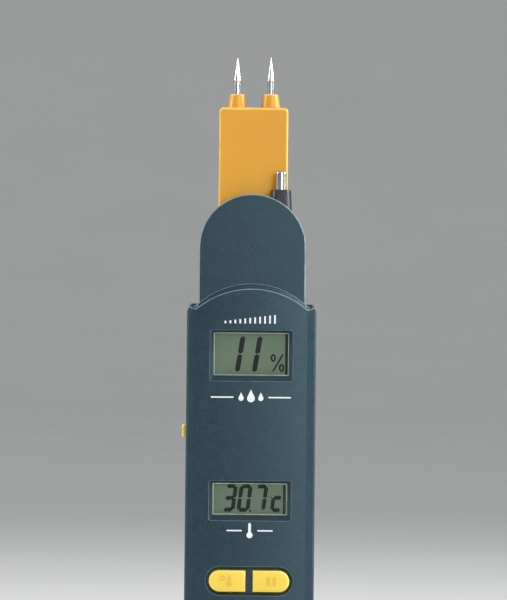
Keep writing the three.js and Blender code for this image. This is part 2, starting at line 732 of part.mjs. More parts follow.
// A thin metal cap, open at its lower end.
function sensorCap() {
  const bottom = SOCKET_TOP_Z - 2.7;
  const inner = PROBE_RADIUS - 0.35;
  return turned(PROBE_X, PROBE_Y, [
    [inner, bottom],
    [PROBE_RADIUS, bottom],
    [PROBE_RADIUS, PROBE_TIP_Z - 0.7],
    [PROBE_RADIUS - 0.2, PROBE_TIP_Z - 0.2],
    [PROBE_RADIUS - 0.7, PROBE_TIP_Z],
    [0, PROBE_TIP_Z],
    [0, PROBE_TIP_Z - 0.4],
    [inner - 0.4, PROBE_TIP_Z - 0.4],
    [inner, PROBE_TIP_Z - 0.9],
    [inner, bottom],
  ]);
}

function thermistor() {
  return turned(PROBE_X, PROBE_Y, [
    [0, BOARD_TOP_Z + GAP],
    [0.5, BOARD_TOP_Z + GAP],
    [0.5, 169.5],
    [1, 170.5],
    [1, 172.8],
    [0.6, 173.6],
    [0, 173.8],
  ], 12);
}

// ---- Displays ----

function window(opening) {
  const x = opening.width / 2 + 1.2;
  const z = opening.height / 2 + 1.2;
  return box(-x, x, WINDOW_FRONT, WINDOW_BACK, opening.z - z, opening.z + z);
}

function display(opening) {
  const x = opening.width / 2 + 1.6;
  const z = opening.height / 2 + 1.6;
  return box(-x, x, DISPLAY_FRONT, DISPLAY_BACK, opening.z - z, opening.z + z);
}

// A rubber strip that joins one edge of a display to the board.
function contactStrip(opening, side) {
  const z = opening.z + side * (opening.height / 2 + 0.6);
  return box(-11, 11, DISPLAY_BACK + 0.1, BOARD_FRONT - 0.1, z - 0.9, z + 0.9);
}

// ---- Controls ----

function button(side) {
  const cap = slab(buttonOutline(side, 0), BUTTON.front, PANEL_INSIDE + GAP + 0.1);
  const inner = side * 0.5;
  const outer = side * 13.9;
  const flange = box(
    Math.min(inner, outer),
    Math.max(inner, outer),
    PANEL_INSIDE + GAP,
    PANEL_INSIDE + GAP + 0.7,
    BUTTON.z - 4.4,
    BUTTON.z + 4.4,
  );
  const plunger = barY(side * BUTTON.x, BUTTON.z, PANEL_INSIDE + GAP, -10.55, 1.5, 1.5, 16);
  return join(cap, flange, plunger);
}

// The low dome switch under a button.
function keySwitch(side) {
  const top = -10.55 + BUTTON_TRAVEL + 0.05;
  return barY(side * BUTTON.x, BUTTON.z, top, BOARD_FRONT - 0.15, 1.8, 2.4, 24);
}

// A knob through the left wall, a flange behind the wall and a tongue into the switch.
function switchKnob() {
  const half = KNOB.height / 2;
  const reach = KNOB.depth / 2;
  const outside = -HALF_WIDTH - KNOB.proud;
  const low = KNOB.z - half;
  const high = KNOB.z + half;
  const nub = polygon([
    [-18.4, low],
    [-HALF_WIDTH - 0.2, low],
    [outside, low + 0.9],
    [outside, high - 0.9],
    [-HALF_WIDTH - 0.2, high],
    [-18.4, high],
  ]);
  return join(
    slab(nub, KNOB.y - reach, KNOB.y + reach),
    box(-18.7, -18, KNOB.y - reach - 0.8, KNOB.y + reach + 0.8, low - 1.2, high + 1.2),
    box(-18.4, -15.7, KNOB.y - 0.6, KNOB.y + 0.6, KNOB.z - 1, KNOB.z + 1),
  );
}

function powerSwitch() {
  const body = box(-17.6, -13.6, BOARD_BACK + 0.15, KNOB.y + 1.9, KNOB.z - 7, KNOB.z + 4);
  const slot = box(-19, -15.4, KNOB.y - 0.9, KNOB.y + 0.9, KNOB.z - 1.3 - KNOB.travel, KNOB.z + 1.3);
  return cut(body, slot);
}

// ---- Board and battery ----

function mainBoard() {
  const wide = box(-17.5, 17.5, BOARD_FRONT, BOARD_BACK, 6, 111);
  const narrow = box(-14.3, 14.3, BOARD_FRONT, BOARD_BACK, 100, BOARD_TOP_Z);
  const notches = CASE_SCREWS.map(({ x, z }) => barY(x, z, BOARD_FRONT - 1, BOARD_BACK + 1, 3.2));
  return cut(join(wide, narrow), ...notches);
}

// A flat chip package on the back of the board.
function chip(x, z, width, height) {
  const outline = roundedRectangle(x, z, width, height, 0.6);
  return slab(outline, BOARD_BACK + 0.15, BOARD_BACK + 1.6, 4);
}

function battery() {
  const { halfWidth, front, back, bottom, top } = BATTERY;
  const section = roundedRectangle(0, (front + back) / 2, 2 * halfWidth, back - front, 2.2);
  const middle = (front + back) / 2;
  return join(
    column(section, bottom, top),
    barZ(-6.4, middle, top - 1, top + 2.1, 2.9, 2.9, 20),
    barZ(6.4, middle, top - 1, top + 2.1, 3.8, 3.8, 6),
  );
}

function batterySnap() {
  const middle = (BATTERY.front + BATTERY.back) / 2;
  const section = roundedRectangle(0, middle, 25, 12.6, 3);
  return column(section, BATTERY.top + 2.4, BATTERY.top + 5);
}

// ---- Screws ----

// A pan-head screw along Y: the head ends at yHead and the shank runs forward (-Y) to yTip.
function screw(x, z, yHead, yTip, headRadius, headHeight, shankRadius) {
  const head = barY(x, z, yHead - headHeight, yHead, headRadius, headRadius - 0.25, 16);
  const shank = barY(x, z, yTip + 0.8, yHead - headHeight, shankRadius, shankRadius, 10);
  const point = barY(x, z, yTip, yTip + 0.8, 0.3, shankRadius, 10);
  const arm = 0.6 * headRadius;
  const deep = yHead - 0.6 * headHeight;
  return cut(
    join(head, shank, point),
    box(x - arm, x + arm, deep, yHead + 1, z - 0.2, z + 0.2),
    box(x - 0.2, x + 0.2, deep, yHead + 1, z - arm, z + arm),
  );
}

// ---- Assembly ----

const SIDES = { left: -1, right: 1 };

addPiece("front_cover", frontCover(), SLATE);
addPiece("rear_cover", rearCover(), SLATE);
addPiece("battery_door", batteryDoor(), SLATE);
addPiece("pivot_plate", pivotPlate(), SLATE);
addPiece("retaining_ring", retainingRing(), STEEL);
addPiece("wave_washer", waveWasher(), STEEL);
addPiece("pivot_lead", pivotLead(), RUBBER);

CASE_SCREWS.forEach(({ x, z, back }, i) => {
  addPiece(`case_screw_${i + 1}`, screw(x, z, back - 1.3, -8.4, 2, 1.6, 1.1), STEEL);
});
PLATE_SCREWS.forEach(({ x, z }, i) => {
  addPiece(`plate_screw_${i + 1}`, screw(x, z, PLATE_BACK - 0.1, -10.5, 1.6, 0.8, 0.7), STEEL);
});

addPiece("head_front_shell", headFrontShell(), YELLOW);
addPiece("head_rear_shell", headRearShell(), YELLOW);
HEAD_SCREW_Z.forEach((z, i) => {
  addPiece(`head_screw_${i + 1}`, screw(0, z, HEAD_BACK - 0.7, -3.4, 1.9, 1.1, 0.75), STEEL);
});
addPiece("detent_ball", detentBall(), STEEL);
addPiece("detent_spring", detentSpring(), STEEL);

for (const [name, side] of Object.entries(SIDES)) {
  addPiece(`electrode_${name}`, electrode(side), CHROME);
  addPiece(`electrode_collar_${name}`, electrodeCollar(side), YELLOW);
  addPiece(`electrode_socket_${name}`, electrodeSocket(side), BRASS);
  addPiece(`electrode_lead_${name}`, electrodeLead(side), RUBBER);
  addPiece(`key_switch_${name}`, keySwitch(side), STEEL);
}

addPiece("sensor_socket", sensorSocket(), SLATE);
addPiece("sensor_cap", sensorCap(), CHROME);
addPiece("thermistor", thermistor(), RUBBER);

for (const [name, opening] of Object.entries({ moisture: UPPER_WINDOW, temperature: LOWER_WINDOW })) {
  addPiece(`${name}_window`, window(opening), CLEAR);
  addPiece(`${name}_display`, display(opening), LCD_GREEN);
  addPiece(`${name}_contact_strip_upper`, contactStrip(opening, 1), RUBBER);
  addPiece(`${name}_contact_strip_lower`, contactStrip(opening, -1), RUBBER);
}

addPiece("unit_button", button(-1), BUTTON_YELLOW);
addPiece("hold_button", button(1), BUTTON_YELLOW);
addPiece("switch_knob", switchKnob(), BUTTON_YELLOW);
addPiece("power_switch", powerSwitch(), STEEL);
addPiece("main_board", mainBoard(), BOARD_GREEN);
addPiece("measuring_chip", chip(4, 88, 10, 8), CHIP_BLACK);
addPiece("display_chip", chip(-3, 70, 12, 12), CHIP_BLACK);
addPiece("battery", battery(), BATTERY_SKIN);
addPiece("battery_snap", batterySnap(), RUBBER);

export default meter;
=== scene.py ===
"""The moisture meter's looks: finer pieces, materials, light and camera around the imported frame."""

import json
from math import cos, pi, radians, sin, sqrt

import bmesh
import bpy
from mathutils import Matrix, Vector


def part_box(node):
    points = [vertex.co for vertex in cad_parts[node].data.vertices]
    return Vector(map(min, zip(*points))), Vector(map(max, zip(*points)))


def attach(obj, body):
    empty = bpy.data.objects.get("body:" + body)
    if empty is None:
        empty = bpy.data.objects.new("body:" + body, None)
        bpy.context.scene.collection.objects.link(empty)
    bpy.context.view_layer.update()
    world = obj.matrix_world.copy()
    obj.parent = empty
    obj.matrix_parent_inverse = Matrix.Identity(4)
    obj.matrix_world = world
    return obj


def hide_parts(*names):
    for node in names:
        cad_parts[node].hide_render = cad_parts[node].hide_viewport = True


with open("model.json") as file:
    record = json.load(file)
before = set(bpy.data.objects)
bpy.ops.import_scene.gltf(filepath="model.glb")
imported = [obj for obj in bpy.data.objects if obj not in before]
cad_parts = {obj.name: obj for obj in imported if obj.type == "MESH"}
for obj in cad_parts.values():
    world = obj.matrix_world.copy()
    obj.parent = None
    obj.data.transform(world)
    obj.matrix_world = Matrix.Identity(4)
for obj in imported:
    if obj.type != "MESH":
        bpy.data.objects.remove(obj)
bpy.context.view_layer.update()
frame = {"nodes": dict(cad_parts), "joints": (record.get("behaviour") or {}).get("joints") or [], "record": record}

MM = 0.001


# -------------------- sizes, in millimetres

def corners(node):
    """The lowest and highest corner of a CAD node."""
    low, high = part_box(node)
    return low / MM, high / MM


def middle_of(node):
    low, high = corners(node)
    return (low + high) / 2


PIVOT_Z = frame["joints"][0]["pos_m"][2] / MM
COVER_LOW, COVER_HIGH = corners("front_cover")
REAR_LOW, REAR_HIGH = corners("rear_cover")
DOOR_LOW, DOOR_HIGH = corners("battery_door")
PLATE_FRONT = corners("pivot_plate")[0].y
BUTTON_LOW, BUTTON_HIGH = corners("unit_button")
SHELL_LOW, SHELL_HIGH = corners("head_front_shell")
SHELL_BACK_LOW, SHELL_BACK_HIGH = corners("head_rear_shell")

HALF_WIDTH = COVER_HIGH.x
DOME_RADIUS = COVER_HIGH.z - PIVOT_Z
CORNER_RADIUS = 6
WALL = 2
PANEL_FACE = COVER_LOW.y
DOME_STEP = 1.1  # how far the dome's face lies behind the panel's
DOME_FACE = PANEL_FACE + DOME_STEP
PANEL_INSIDE = PANEL_FACE + 2.2
DOME_INSIDE = PANEL_FACE + 3.1
THIN_BACK = -6
COVER_BACK = COVER_HIGH.y
PEAK_Z = 133.1  # where the rear half's two 45 degree slopes would meet
PEAK_RADIUS = 6
UPPER_BACK = 9
LOWER_BACK = REAR_HIGH.y
HEAD_FRONT = -5.5
HEAD_END = SHELL_HIGH.z
HEAD_WALL = 1.6
SLOPE_LOW_Z = 77
SLOPE_HIGH_Z = 91

# The raised panel's arched top: its upper edge and its foot on the dome's face.
ARCH_PEAK, ARCH_END = 136.5, (17.9, 129.9)
FOOT_PEAK, FOOT_END = 138.3, (17.3, 131.7)
ARCH_BEVEL = 0.65  # depth of the bevel along the arch; a step leads from there down to the dome
SHOULDER_Z = 131.8
SHOULDER_EDGE_Z = 129.5
SHOULDER_CORNER = 1
SHOULDER_RISE = 1.1  # how fast the shoulder rises with depth
SHOULDER_FALL = 2.4  # how fast it falls within its corner
CROWN_RADIUS = 203
DOME_CROWN = 0.27  # the dome is crowned this much as strongly as the panel

# The panel's front edge, as (depth behind the face, inset from the side).
BANDS = [(0, 3), (0.65, 1.54), (1.07, 0.6), (1.7, 0), (2, 0)]

WINDOW_LAP = 1.2  # how far a window plate reaches behind the cover around its opening
RECESS = {"top": 0.75, "side": 1.2, "bottom": 1.8, "depth": 1}  # the bevel round each window
GAP = 0.3  # between parts that slide in or rest on each other

BUTTON_RECESS = {"half": 14.2, "radius": 4.75, "bevel": 1.1, "depth": 0.9}
BUTTON = {"half_height": 3.45, "inner_end": 1.18, "round_end": 9.53}
BUTTON_Z = (BUTTON_LOW.z + BUTTON_HIGH.z) / 2
BUTTON_GAP = 0.32
BUTTON_MARK = 0.12  # height of the pictograms on the buttons

PROBE_HOLE = 1.75  # radius of the dome's bore for the probe
PROBE_NECK = 1.45  # radius of the socket's neck in that bore
PROBE_BORE = 0.85  # radius of the bore through the neck

CASE_SCREWS = [f"case_screw_{i}" for i in range(1, 5)]
PLATE_SCREWS = [f"plate_screw_{i}" for i in range(1, 5)]
HEAD_SCREWS = ["head_screw_1", "head_screw_2"]
# For each kind of screw, the shank's radius and the head's thickness.
SCREW_SIZES = {"case": (1.1, 1.6), "plate": (0.7, 0.8), "head": (0.75, 1.1)}
# For each kind of screw, the radius of the post that takes its tip and of the hole in that post.
POST_SIZES = {"case": (2.6, 1.4), "plate": (2.2, 1), "head": (2.6, 1.05)}

WELD = 1e-3  # corners nearer to each other than this become one
# Which strips of a mesh count as edges that are lightened, partly for rubbing and partly as a painted highlight,
# in metres and degrees.
EDGE_WIDTH = 0.0003
EDGE_TURN = 4
LONG_EDGE = 0.02
LONG_EDGE_TURN = 9


# -------------------- outlines

def arc(a, b, radius, start, end, steps):
    """Points round (a, b), from one angle in degrees to another, anticlockwise from the first axis."""
    turns = [radians(start + (end - start) * i / steps) for i in range(steps + 1)]
    return [(a + radius * cos(turn), b + radius * sin(turn)) for turn in turns]


def rounded_box(a0, a1, b0, b1, radius, steps=6):
    return (arc(a1 - radius, b0 + radius, radius, -90, 0, steps)
            + arc(a1 - radius, b1 - radius, radius, 0, 90, steps)
            + arc(a0 + radius, b1 - radius, radius, 90, 180, steps)
            + arc(a0 + radius, b0 + radius, radius, 180, 270, steps))


def body_foot(inset, steps=10):
    """The two rounded bottom corners of the body, from left to right."""
    half = HALF_WIDTH - inset
    radius = max(CORNER_RADIUS - inset, 1.5)
    return (arc(-half + radius, inset + radius, radius, 180, 270, steps)
            + arc(half - radius, inset + radius, radius, 270, 360, steps))


def dome_outline(radius, bottom, steps=64):
    return [(-radius, bottom), (radius, bottom)] + arc(0, PIVOT_Z, radius, 0, 180, steps)


def below_peak(inset, drop):
    """The front view of the rear half: the body's foot and the rounded peak."""
    half = HALF_WIDTH - inset
    peak = PEAK_Z - drop
    centre = peak - PEAK_RADIUS * sqrt(2)
    return (body_foot(inset) + [(half, peak - half)]
            + arc(0, centre, PEAK_RADIUS, 45, 135, 12) + [(-half, peak - half)])


def above_peak(drop):
    peak = PEAK_Z - drop
    centre = peak - PEAK_RADIUS * sqrt(2)
    far = 60
    return arc(0, centre, PEAK_RADIUS, 135, 45, 12) + [
        (far, peak - far), (far, PIVOT_Z + far), (-far, PIVOT_Z + far), (-far, peak - far)]


def head_outline(inset, steps=40):
    half = SHELL_HIGH.x - inset
    top = SHELL_HIGH.z - inset
    corner = max(1.3 - inset, 0.3)
    return (arc(0, PIVOT_Z, half, 180, 360, steps)
            + arc(half - corner, top - corner, corner, 0, 90, 8)
            + arc(-half + corner, top - corner, corner, 90, 180, 8))


# -------------------- meshes

SWAP_Y_AND_Z = Matrix(((1, 0, 0, 0), (0, 0, 1, 0), (0, 1, 0, 0), (0, 0, 0, 1)))


def work(mesh):
    """A bmesh as an object to be cut, joined and finished."""
    bmesh.ops.recalc_face_normals(mesh, faces=mesh.faces)
    data = bpy.data.meshes.new("work")
    mesh.to_mesh(data)
    mesh.free()
    made = bpy.data.objects.new("work", data)
    bpy.context.scene.collection.objects.link(made)
    return made


def loft(rings):
    """A closed solid through rings of 3D points."""
    mesh = bmesh.new()
    loops = [[mesh.verts.new(point) for point in ring] for ring in rings]
    for near, far in zip(loops, loops[1:]):
        for i in range(len(near)):
            j = (i + 1) % len(near)
            mesh.faces.new((near[i], near[j], far[j], far[i]))
    mesh.faces.new(loops[0])
    mesh.faces.new(loops[-1])
    return work(mesh)


def at_y(outline, y):
    return [(a, y, b) for a, b in outline]


def slab(outline, y0, y1):
    return loft([at_y(outline, y0), at_y(outline, y1)])


def block(x0, x1, y0, y1, z0, z1):
    return slab([(x0, z0), (x1, z0), (x1, z1), (x0, z1)], y0, y1)


def across(profile, x0, x1):
    return loft([[(x, y, z) for y, z in profile] for x in (x0, x1)])


def turned(profile, centre, axis="Z", steps=48):
    """A profile of (radius, place along the axis) points, turned about an axis through a point."""
    mesh = bmesh.new()
    rings = []
    for radius, place in profile:
        points = arc(0, 0, radius, 0, 360, steps)[:-1] if radius > 0 else [(0, 0)]
        rings.append([mesh.verts.new((*point, place)) for point in points])
    for near, far in zip(rings, rings[1:]):
        for i in range(steps):
            j = (i + 1) % steps
            loop = [near[i % len(near)], near[j % len(near)], far[j % len(far)], far[i % len(far)]]
            mesh.faces.new(list(dict.fromkeys(loop)))
    for end in (rings[0], rings[-1]):
        if len(end) > 1:
            mesh.faces.new(end)
    if axis == "Y":
        mesh.transform(SWAP_Y_AND_Z)
    mesh.transform(Matrix.Translation(centre))
    return work(mesh)


def bar_y(x, z, y0, y1, radius, steps=40):
    return turned([(radius, y0), (radius, y1)], (x, 0, z), "Y", steps)


def settle(made):
    """Applies an object's modifiers to its mesh."""
    shown = made.evaluated_get(bpy.context.evaluated_depsgraph_get())
    data = bpy.data.meshes.new_from_object(shown)
    made.modifiers.clear()
    made.data = data
    return made


def combine(made, tools, operation):
    for tool in tools:
        step = made.modifiers.new("combine", "BOOLEAN")
        step.operation = operation
        step.solver = "EXACT"
        step.object = tool
        settle(made)
        bpy.data.objects.remove(tool)
    return made


def cut(made, *tools):
    return combine(made, tools, "DIFFERENCE")


def join(made, *tools):
    return combine(made, tools, "UNION")


def edit(made, change):
    """Runs a change on an object's mesh."""
    mesh = bmesh.new()
    mesh.from_mesh(made.data)
    change(mesh)
    bmesh.ops.recalc_face_normals(mesh, faces=mesh.faces)
    mesh.to_mesh(made.data)
    mesh.free()
    return made


def rounded(made, width, segments, chosen=lambda middle: True, angle=15):
    """Rounds the edges sharper than an angle whose middle is chosen."""
    def change(mesh):
        edges = [edge for edge in mesh.edges
                 if len(edge.link_faces) == 2 and edge.calc_face_angle() > radians(angle)
                 and chosen((edge.verts[0].co + edge.verts[1].co) / 2)]
        bmesh.ops.bevel(mesh, geom=edges, offset=width, segments=segments, profile=0.5,
                        affect="EDGES", clamp_overlap=True)
        bmesh.ops.remove_doubles(mesh, verts=mesh.verts, dist=WELD)
    return edit(made, change)


def mark_edges(data, painted_highlight):
    """Marks the narrow faces of rounded outer edges, lightened partly for rubbing and partly as a painted
    highlight, and those chosen by place as painted highlight lines.
    """
    mesh = bmesh.new()
    mesh.from_mesh(data)
    # The mark lightens these faces' colour: partly rubbing, partly a painted highlight.
    mark = mesh.faces.layers.float.new("edge")
    for face in mesh.faces:
        longest = max(edge.calc_length() for edge in face.edges)
        # The long sides of the face, without the ends of a strip.
        sides = [edge for edge in face.edges if edge.calc_length() > 0.4 * longest]
        turns = [edge.calc_face_angle_signed(0) for edge in sides if len(edge.link_faces) == 2]
        width = face.calc_area() / longest * (2 if len(face.verts) == 3 else 1)
        narrow = width < EDGE_WIDTH
        sharp = radians(LONG_EDGE_TURN if longest > LONG_EDGE else EDGE_TURN)
        convex = sum(turn > sharp for turn in turns) >= 2
        face[mark] = float(narrow and (convex or painted_highlight(face.calc_center_median() / MM)))
    mesh.to_mesh(data)
    mesh.free()


def finish(made, name, look, body, replaced=(), sharp=32, painted_highlight=lambda middle: False):
    """Turns a work object into a named piece that rides on a body."""
    edit(made, lambda mesh: bmesh.ops.remove_doubles(mesh, verts=mesh.verts, dist=WELD))
    made.name = name
    made.data.name = name
    made.data.transform(Matrix.Scale(MM, 4))
    made.data.materials.clear()
    made.data.materials.append(look)
    for face in made.data.polygons:
        face.use_smooth = True
    made.data.set_sharp_from_angle(angle=radians(sharp))
    weighted = made.modifiers.new("normals", "WEIGHTED_NORMAL")
    weighted.keep_sharp = True
    settle(made)
    mark_edges(made.data, painted_highlight)
    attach(made, body)
    if replaced:
        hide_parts(*replaced)
    return made


# -------------------- materials

class Look:
    """A procedural material: a Principled shader and the nodes that drive it."""

    def __init__(self, name, **values):
        self.material = bpy.data.materials.new(name)
        self.material.use_nodes = True
        self.tree = self.material.node_tree
        self.shader = self.tree.nodes["Principled BSDF"]
        self.place = self.node("ShaderNodeTexCoord").outputs["Object"]
        for socket, value in values.items():
            self.shader.inputs[socket.replace("_", " ")].default_value = value

    def node(self, kind, **settings):
        made = self.tree.nodes.new(kind)
        for key, value in settings.items():
            setattr(made, key, value)
        return made

    def link(self, output, target):
        self.tree.links.new(output, target)

    def noise(self, scale, detail=3, stretch=(1, 1, 1)):
        """A noise value from 0 to 1; scale counts its blobs in a metre."""
        mapping = self.node("ShaderNodeMapping")
        mapping.inputs["Scale"].default_value = stretch
        self.link(self.place, mapping.inputs["Vector"])
        made = self.node("ShaderNodeTexNoise")
        made.inputs["Scale"].default_value = scale
        made.inputs["Detail"].default_value = detail
        self.link(mapping.outputs["Vector"], made.inputs["Vector"])
        return made.outputs["Fac"]

    def spread(self, value, low, high, out_low, out_high):
        """A value's range from low to high, spread over another range."""
        made = self.node("ShaderNodeMapRange")
        limits = {"From Min": low, "From Max": high, "To Min": out_low, "To Max": out_high}
        for socket, number in limits.items():
            made.inputs[socket].default_value = number
        self.link(value, made.inputs["Value"])
        return made.outputs["Result"]

    def cloud(self, scale):
        """A noise whose middle range runs from 0 to 1."""
        return self.spread(self.noise(scale), 0.35, 0.65, 0.0, 1.0)

    def gloss(self, scale, low, high):
        """A roughness that varies between two values."""
        self.roughness(self.spread(self.noise(scale), 0.3, 0.7, low, high))

    def times(self, a, b):
        made = self.node("ShaderNodeMath", operation="MULTIPLY")
        self.link(a, made.inputs[0])
        self.link(b, made.inputs[1])
        return made.outputs[0]

    def blend(self, share, low, high):
        """A colour between two: each is a colour or another node's output.

        The mix node's colour sockets are its inputs 6 and 7 and its output 2.
        """
        made = self.node("ShaderNodeMix", data_type="RGBA")
        self.link(share, made.inputs["Factor"])
        for socket, colour in ((made.inputs[6], low), (made.inputs[7], high)):
            if isinstance(colour, tuple):
                socket.default_value = (*colour, 1)
            else:
                self.link(colour, socket)
        return made.outputs[2]

    def edge_wear_and_highlight(self):
        """Paler patches on the rounded edges: partly rubbing, partly a painted highlight where the edges catch the
        light.
        """
        edge = self.node("ShaderNodeAttribute", attribute_name="edge").outputs["Fac"]
        return self.times(edge, self.spread(self.noise(260), 0.3, 0.7, 0.45, 0.85))

    def colour(self, output):
        self.link(output, self.shader.inputs["Base Color"])

    def roughness(self, output):
        self.link(output, self.shader.inputs["Roughness"])

    def bump(self, height, distance, strength):
        made = self.node("ShaderNodeBump")
        made.inputs["Strength"].default_value = strength
        made.inputs["Distance"].default_value = distance
        self.link(height, made.inputs["Height"])
        self.link(made.outputs["Normal"], self.shader.inputs["Normal"])


def linear(red, green, blue):
    """An sRGB colour of 0 to 255 as linear values."""
    def one(value):
        value /= 255
        return value / 12.92 if value < 0.04045 else ((value + 0.055) / 1.055) ** 2.4
    return (one(red), one(green), one(blue))


def slate_plastic():
    look = Look("slate_plastic", Specular_IOR_Level=0.5, Specular_Tint=(0.5, 0.85, 1, 1))
    ground = look.blend(look.cloud(22), linear(30, 42, 50), linear(35, 48, 57))
    fleck = look.spread(look.noise(2200, 1), 0.55, 0.78, 0.0, 0.35)
    speckled = look.blend(fleck, ground, linear(66, 90, 104))
    # Paler edges: partly rubbing, partly a painted highlight.
    look.colour(look.blend(look.edge_wear_and_highlight(), speckled, linear(140, 158, 163)))
    look.gloss(420, 0.3, 0.42)
    look.bump(look.noise(3600, 2), 0.00004, 0.45)
    return look.material


def yellow_plastic(name, base, deep, pale):
    look = Look(name, Specular_IOR_Level=0.45)
    ground = look.blend(look.cloud(35), deep, base)
    # The pale colour on marked edges: partly rubbing, partly a painted highlight.
    look.colour(look.blend(look.edge_wear_and_highlight(), ground, pale))
    look.gloss(500, 0.32, 0.44)
    look.bump(look.noise(2600, 2), 0.00003, 0.3)
    return look.material


def bright_metal(name, colour, low, high, grain, stretch):
    """Plated or brushed metal, its fine lines running across the stretched axis."""
    look = Look(name, Metallic=1.0)
    line = look.noise(grain, 2, stretch)
    look.colour(look.blend(look.spread(line, 0.3, 0.7, 0.0, 1.0), tuple(0.86 * c for c in colour), colour))
    look.roughness(look.spread(line, 0.3, 0.7, low, high))
    look.bump(line, 0.000002, 0.3)
    return look.material


def lcd_glass():
    look = Look("lcd_glass", Specular_IOR_Level=0.3)
    cloud = look.spread(look.noise(60), 0.3, 0.7, 0.0, 1.0)
    ground = look.blend(cloud, linear(112, 134, 110), linear(122, 145, 119))
    fine = look.spread(look.noise(5000, 1), 0.4, 0.6, 0.0, 0.2)
    look.colour(look.blend(fine, ground, linear(136, 158, 134)))
    look.gloss(700, 0.3, 0.42)
    return look.material


def lcd_ink():
    look = Look("lcd_ink", Specular_IOR_Level=0.2)
    look.colour(look.blend(look.noise(1500), linear(16, 26, 26), linear(24, 34, 34)))
    look.gloss(900, 0.35, 0.5)
    return look.material


def clear_plastic():
    look = Look("clear_plastic", Alpha=0.12, IOR=1.49)
    look.colour(look.blend(look.noise(120), linear(40, 52, 48), linear(52, 62, 58)))
    look.gloss(300, 0.03, 0.07)
    return look.material


def white_print():
    look = Look("white_print", Specular_IOR_Level=0.3)
    look.colour(look.blend(look.noise(1800), linear(206, 214, 216), linear(240, 244, 244)))
    look.gloss(1200, 0.45, 0.6)
    look.bump(look.noise(4000, 2), 0.00001, 0.4)
    return look.material


def plain_moulding(name, low, high, rough, scale=600):
    """Rubber, board and jacket surfaces: a little uneven in colour, gloss and height."""
    look = Look(name, Specular_IOR_Level=0.4)
    look.colour(look.blend(look.cloud(scale), low, high))
    look.gloss(scale * 2, rough - 0.06, rough + 0.08)
    look.bump(look.noise(scale * 4, 2), 0.00003, 0.4)
    return look.material


SLATE = slate_plastic()
YELLOW = yellow_plastic("amber_plastic", linear(216, 155, 24), linear(208, 147, 20), linear(246, 196, 90))
LEMON = yellow_plastic("lemon_plastic", linear(238, 208, 78), linear(232, 200, 70), linear(248, 228, 130))
AMBER_PRINT = yellow_plastic("amber_print", linear(226, 186, 64), linear(220, 178, 56), linear(240, 204, 100))
CHROME = bright_metal("chrome", (0.6, 0.61, 0.63), 0.15, 0.24, 500, (1, 1, 0.2))
STEEL = bright_metal("steel", (0.62, 0.63, 0.64), 0.22, 0.38, 700, (1, 5, 1))
SCREW_STEEL = bright_metal("screw_steel", (0.56, 0.57, 0.59), 0.25, 0.4, 900, (4, 1, 1))
BRASS = bright_metal("brass", (0.72, 0.52, 0.2), 0.2, 0.35, 800, (1, 1, 5))
LCD = lcd_glass()
INK = lcd_ink()
CLEAR = clear_plastic()
PRINT = white_print()
# A pale colour that paints the highlight along each window opening's edge.
RIM_HIGHLIGHT = plain_moulding("lens_rim_highlight", linear(150, 164, 146), linear(178, 190, 170), 0.25, 300)
CHARCOAL = plain_moulding("charcoal_plastic", linear(28, 31, 38), linear(36, 40, 48), 0.34)
RUBBER = plain_moulding("rubber", (0.012, 0.012, 0.013), (0.022, 0.022, 0.024), 0.65)
BOARD = plain_moulding("circuit_board", (0.012, 0.085, 0.04), (0.02, 0.12, 0.06), 0.35)
CHIP = plain_moulding("chip", (0.01, 0.01, 0.011), (0.02, 0.02, 0.021), 0.5)
JACKET = plain_moulding("battery_jacket", (0.07, 0.075, 0.085), (0.09, 0.097, 0.108), 0.3, 150)

SLOT_LOOKS = {
    "body_plastic": SLATE,
    "head_plastic": YELLOW,
    "button_plastic": LEMON,
    "chrome": CHROME,
    "steel": STEEL,
    "screw_steel": SCREW_STEEL,
    "brass": BRASS,
    "clear_window": CLEAR,
    "lcd_glass": LCD,
    "rubber": RUBBER,
    "circuit_board": BOARD,
    "chip": CHIP,
    "battery_case": JACKET,
}

# Nodes that look different from the rest of their slot.
NODE_LOOKS = {"power_switch": CHIP, "sensor_socket": CHARCOAL}


def dress_cad_nodes():
    """Gives every CAD node the look of its slot."""
    for entry in frame["record"]["subparts"]:
        node = frame["nodes"][entry["node"]]
        look = NODE_LOOKS.get(entry["node"], SLOT_LOOKS[entry["material_slot"]])
        node.data.materials.clear()
        node.data.materials.append(look)


# -------------------- front cover

def arc_height(x, peak, end):
    """The height at x of the arc through a peak on the middle line and an end point."""
    drop = peak - end[1]
    radius = (end[0] ** 2 + drop ** 2) / (2 * drop)
    return peak - radius + sqrt(radius ** 2 - x ** 2)


def panel_top(x, depth):
    """The height of the panel's top edge at x, at a depth behind the face."""
    upper = arc_height(x, ARCH_PEAK, ARCH_END)
    foot = arc_height(x, FOOT_PEAK, FOOT_END)
    arch = upper + (foot - upper) * min(1, depth / ARCH_BEVEL)
    if abs(x) <= DOME_RADIUS:
        return arch
    lowest = SHOULDER_EDGE_Z + SHOULDER_RISE * depth
    cap = SHOULDER_Z - SHOULDER_FALL * max(0, abs(x) - HALF_WIDTH + SHOULDER_CORNER)
    return min(max(arch, lowest), cap)


def panel_ring(depth, inset):
    """The panel's outline at a depth behind its face: its foot and its arched top."""
    half = HALF_WIDTH - inset
    shoulder_end = DOME_RADIUS + 0.02
    side_steps, arch_steps = 6, 48
    shoulder = [half - (half - shoulder_end) * i / side_steps for i in range(side_steps + 1)]
    arch = [DOME_RADIUS * (1 - 2 * i / arch_steps) for i in range(arch_steps + 1)]
    places = shoulder + arch + [-x for x in reversed(shoulder)]
    return body_foot(inset) + [(x, panel_top(x, depth)) for x in places]


def opening(window):
    """The half width, the foot and the top of the cover's opening over a window plate."""
    low, high = corners(window)
    return high.x - WINDOW_LAP, low.z + WINDOW_LAP, high.z - WINDOW_LAP


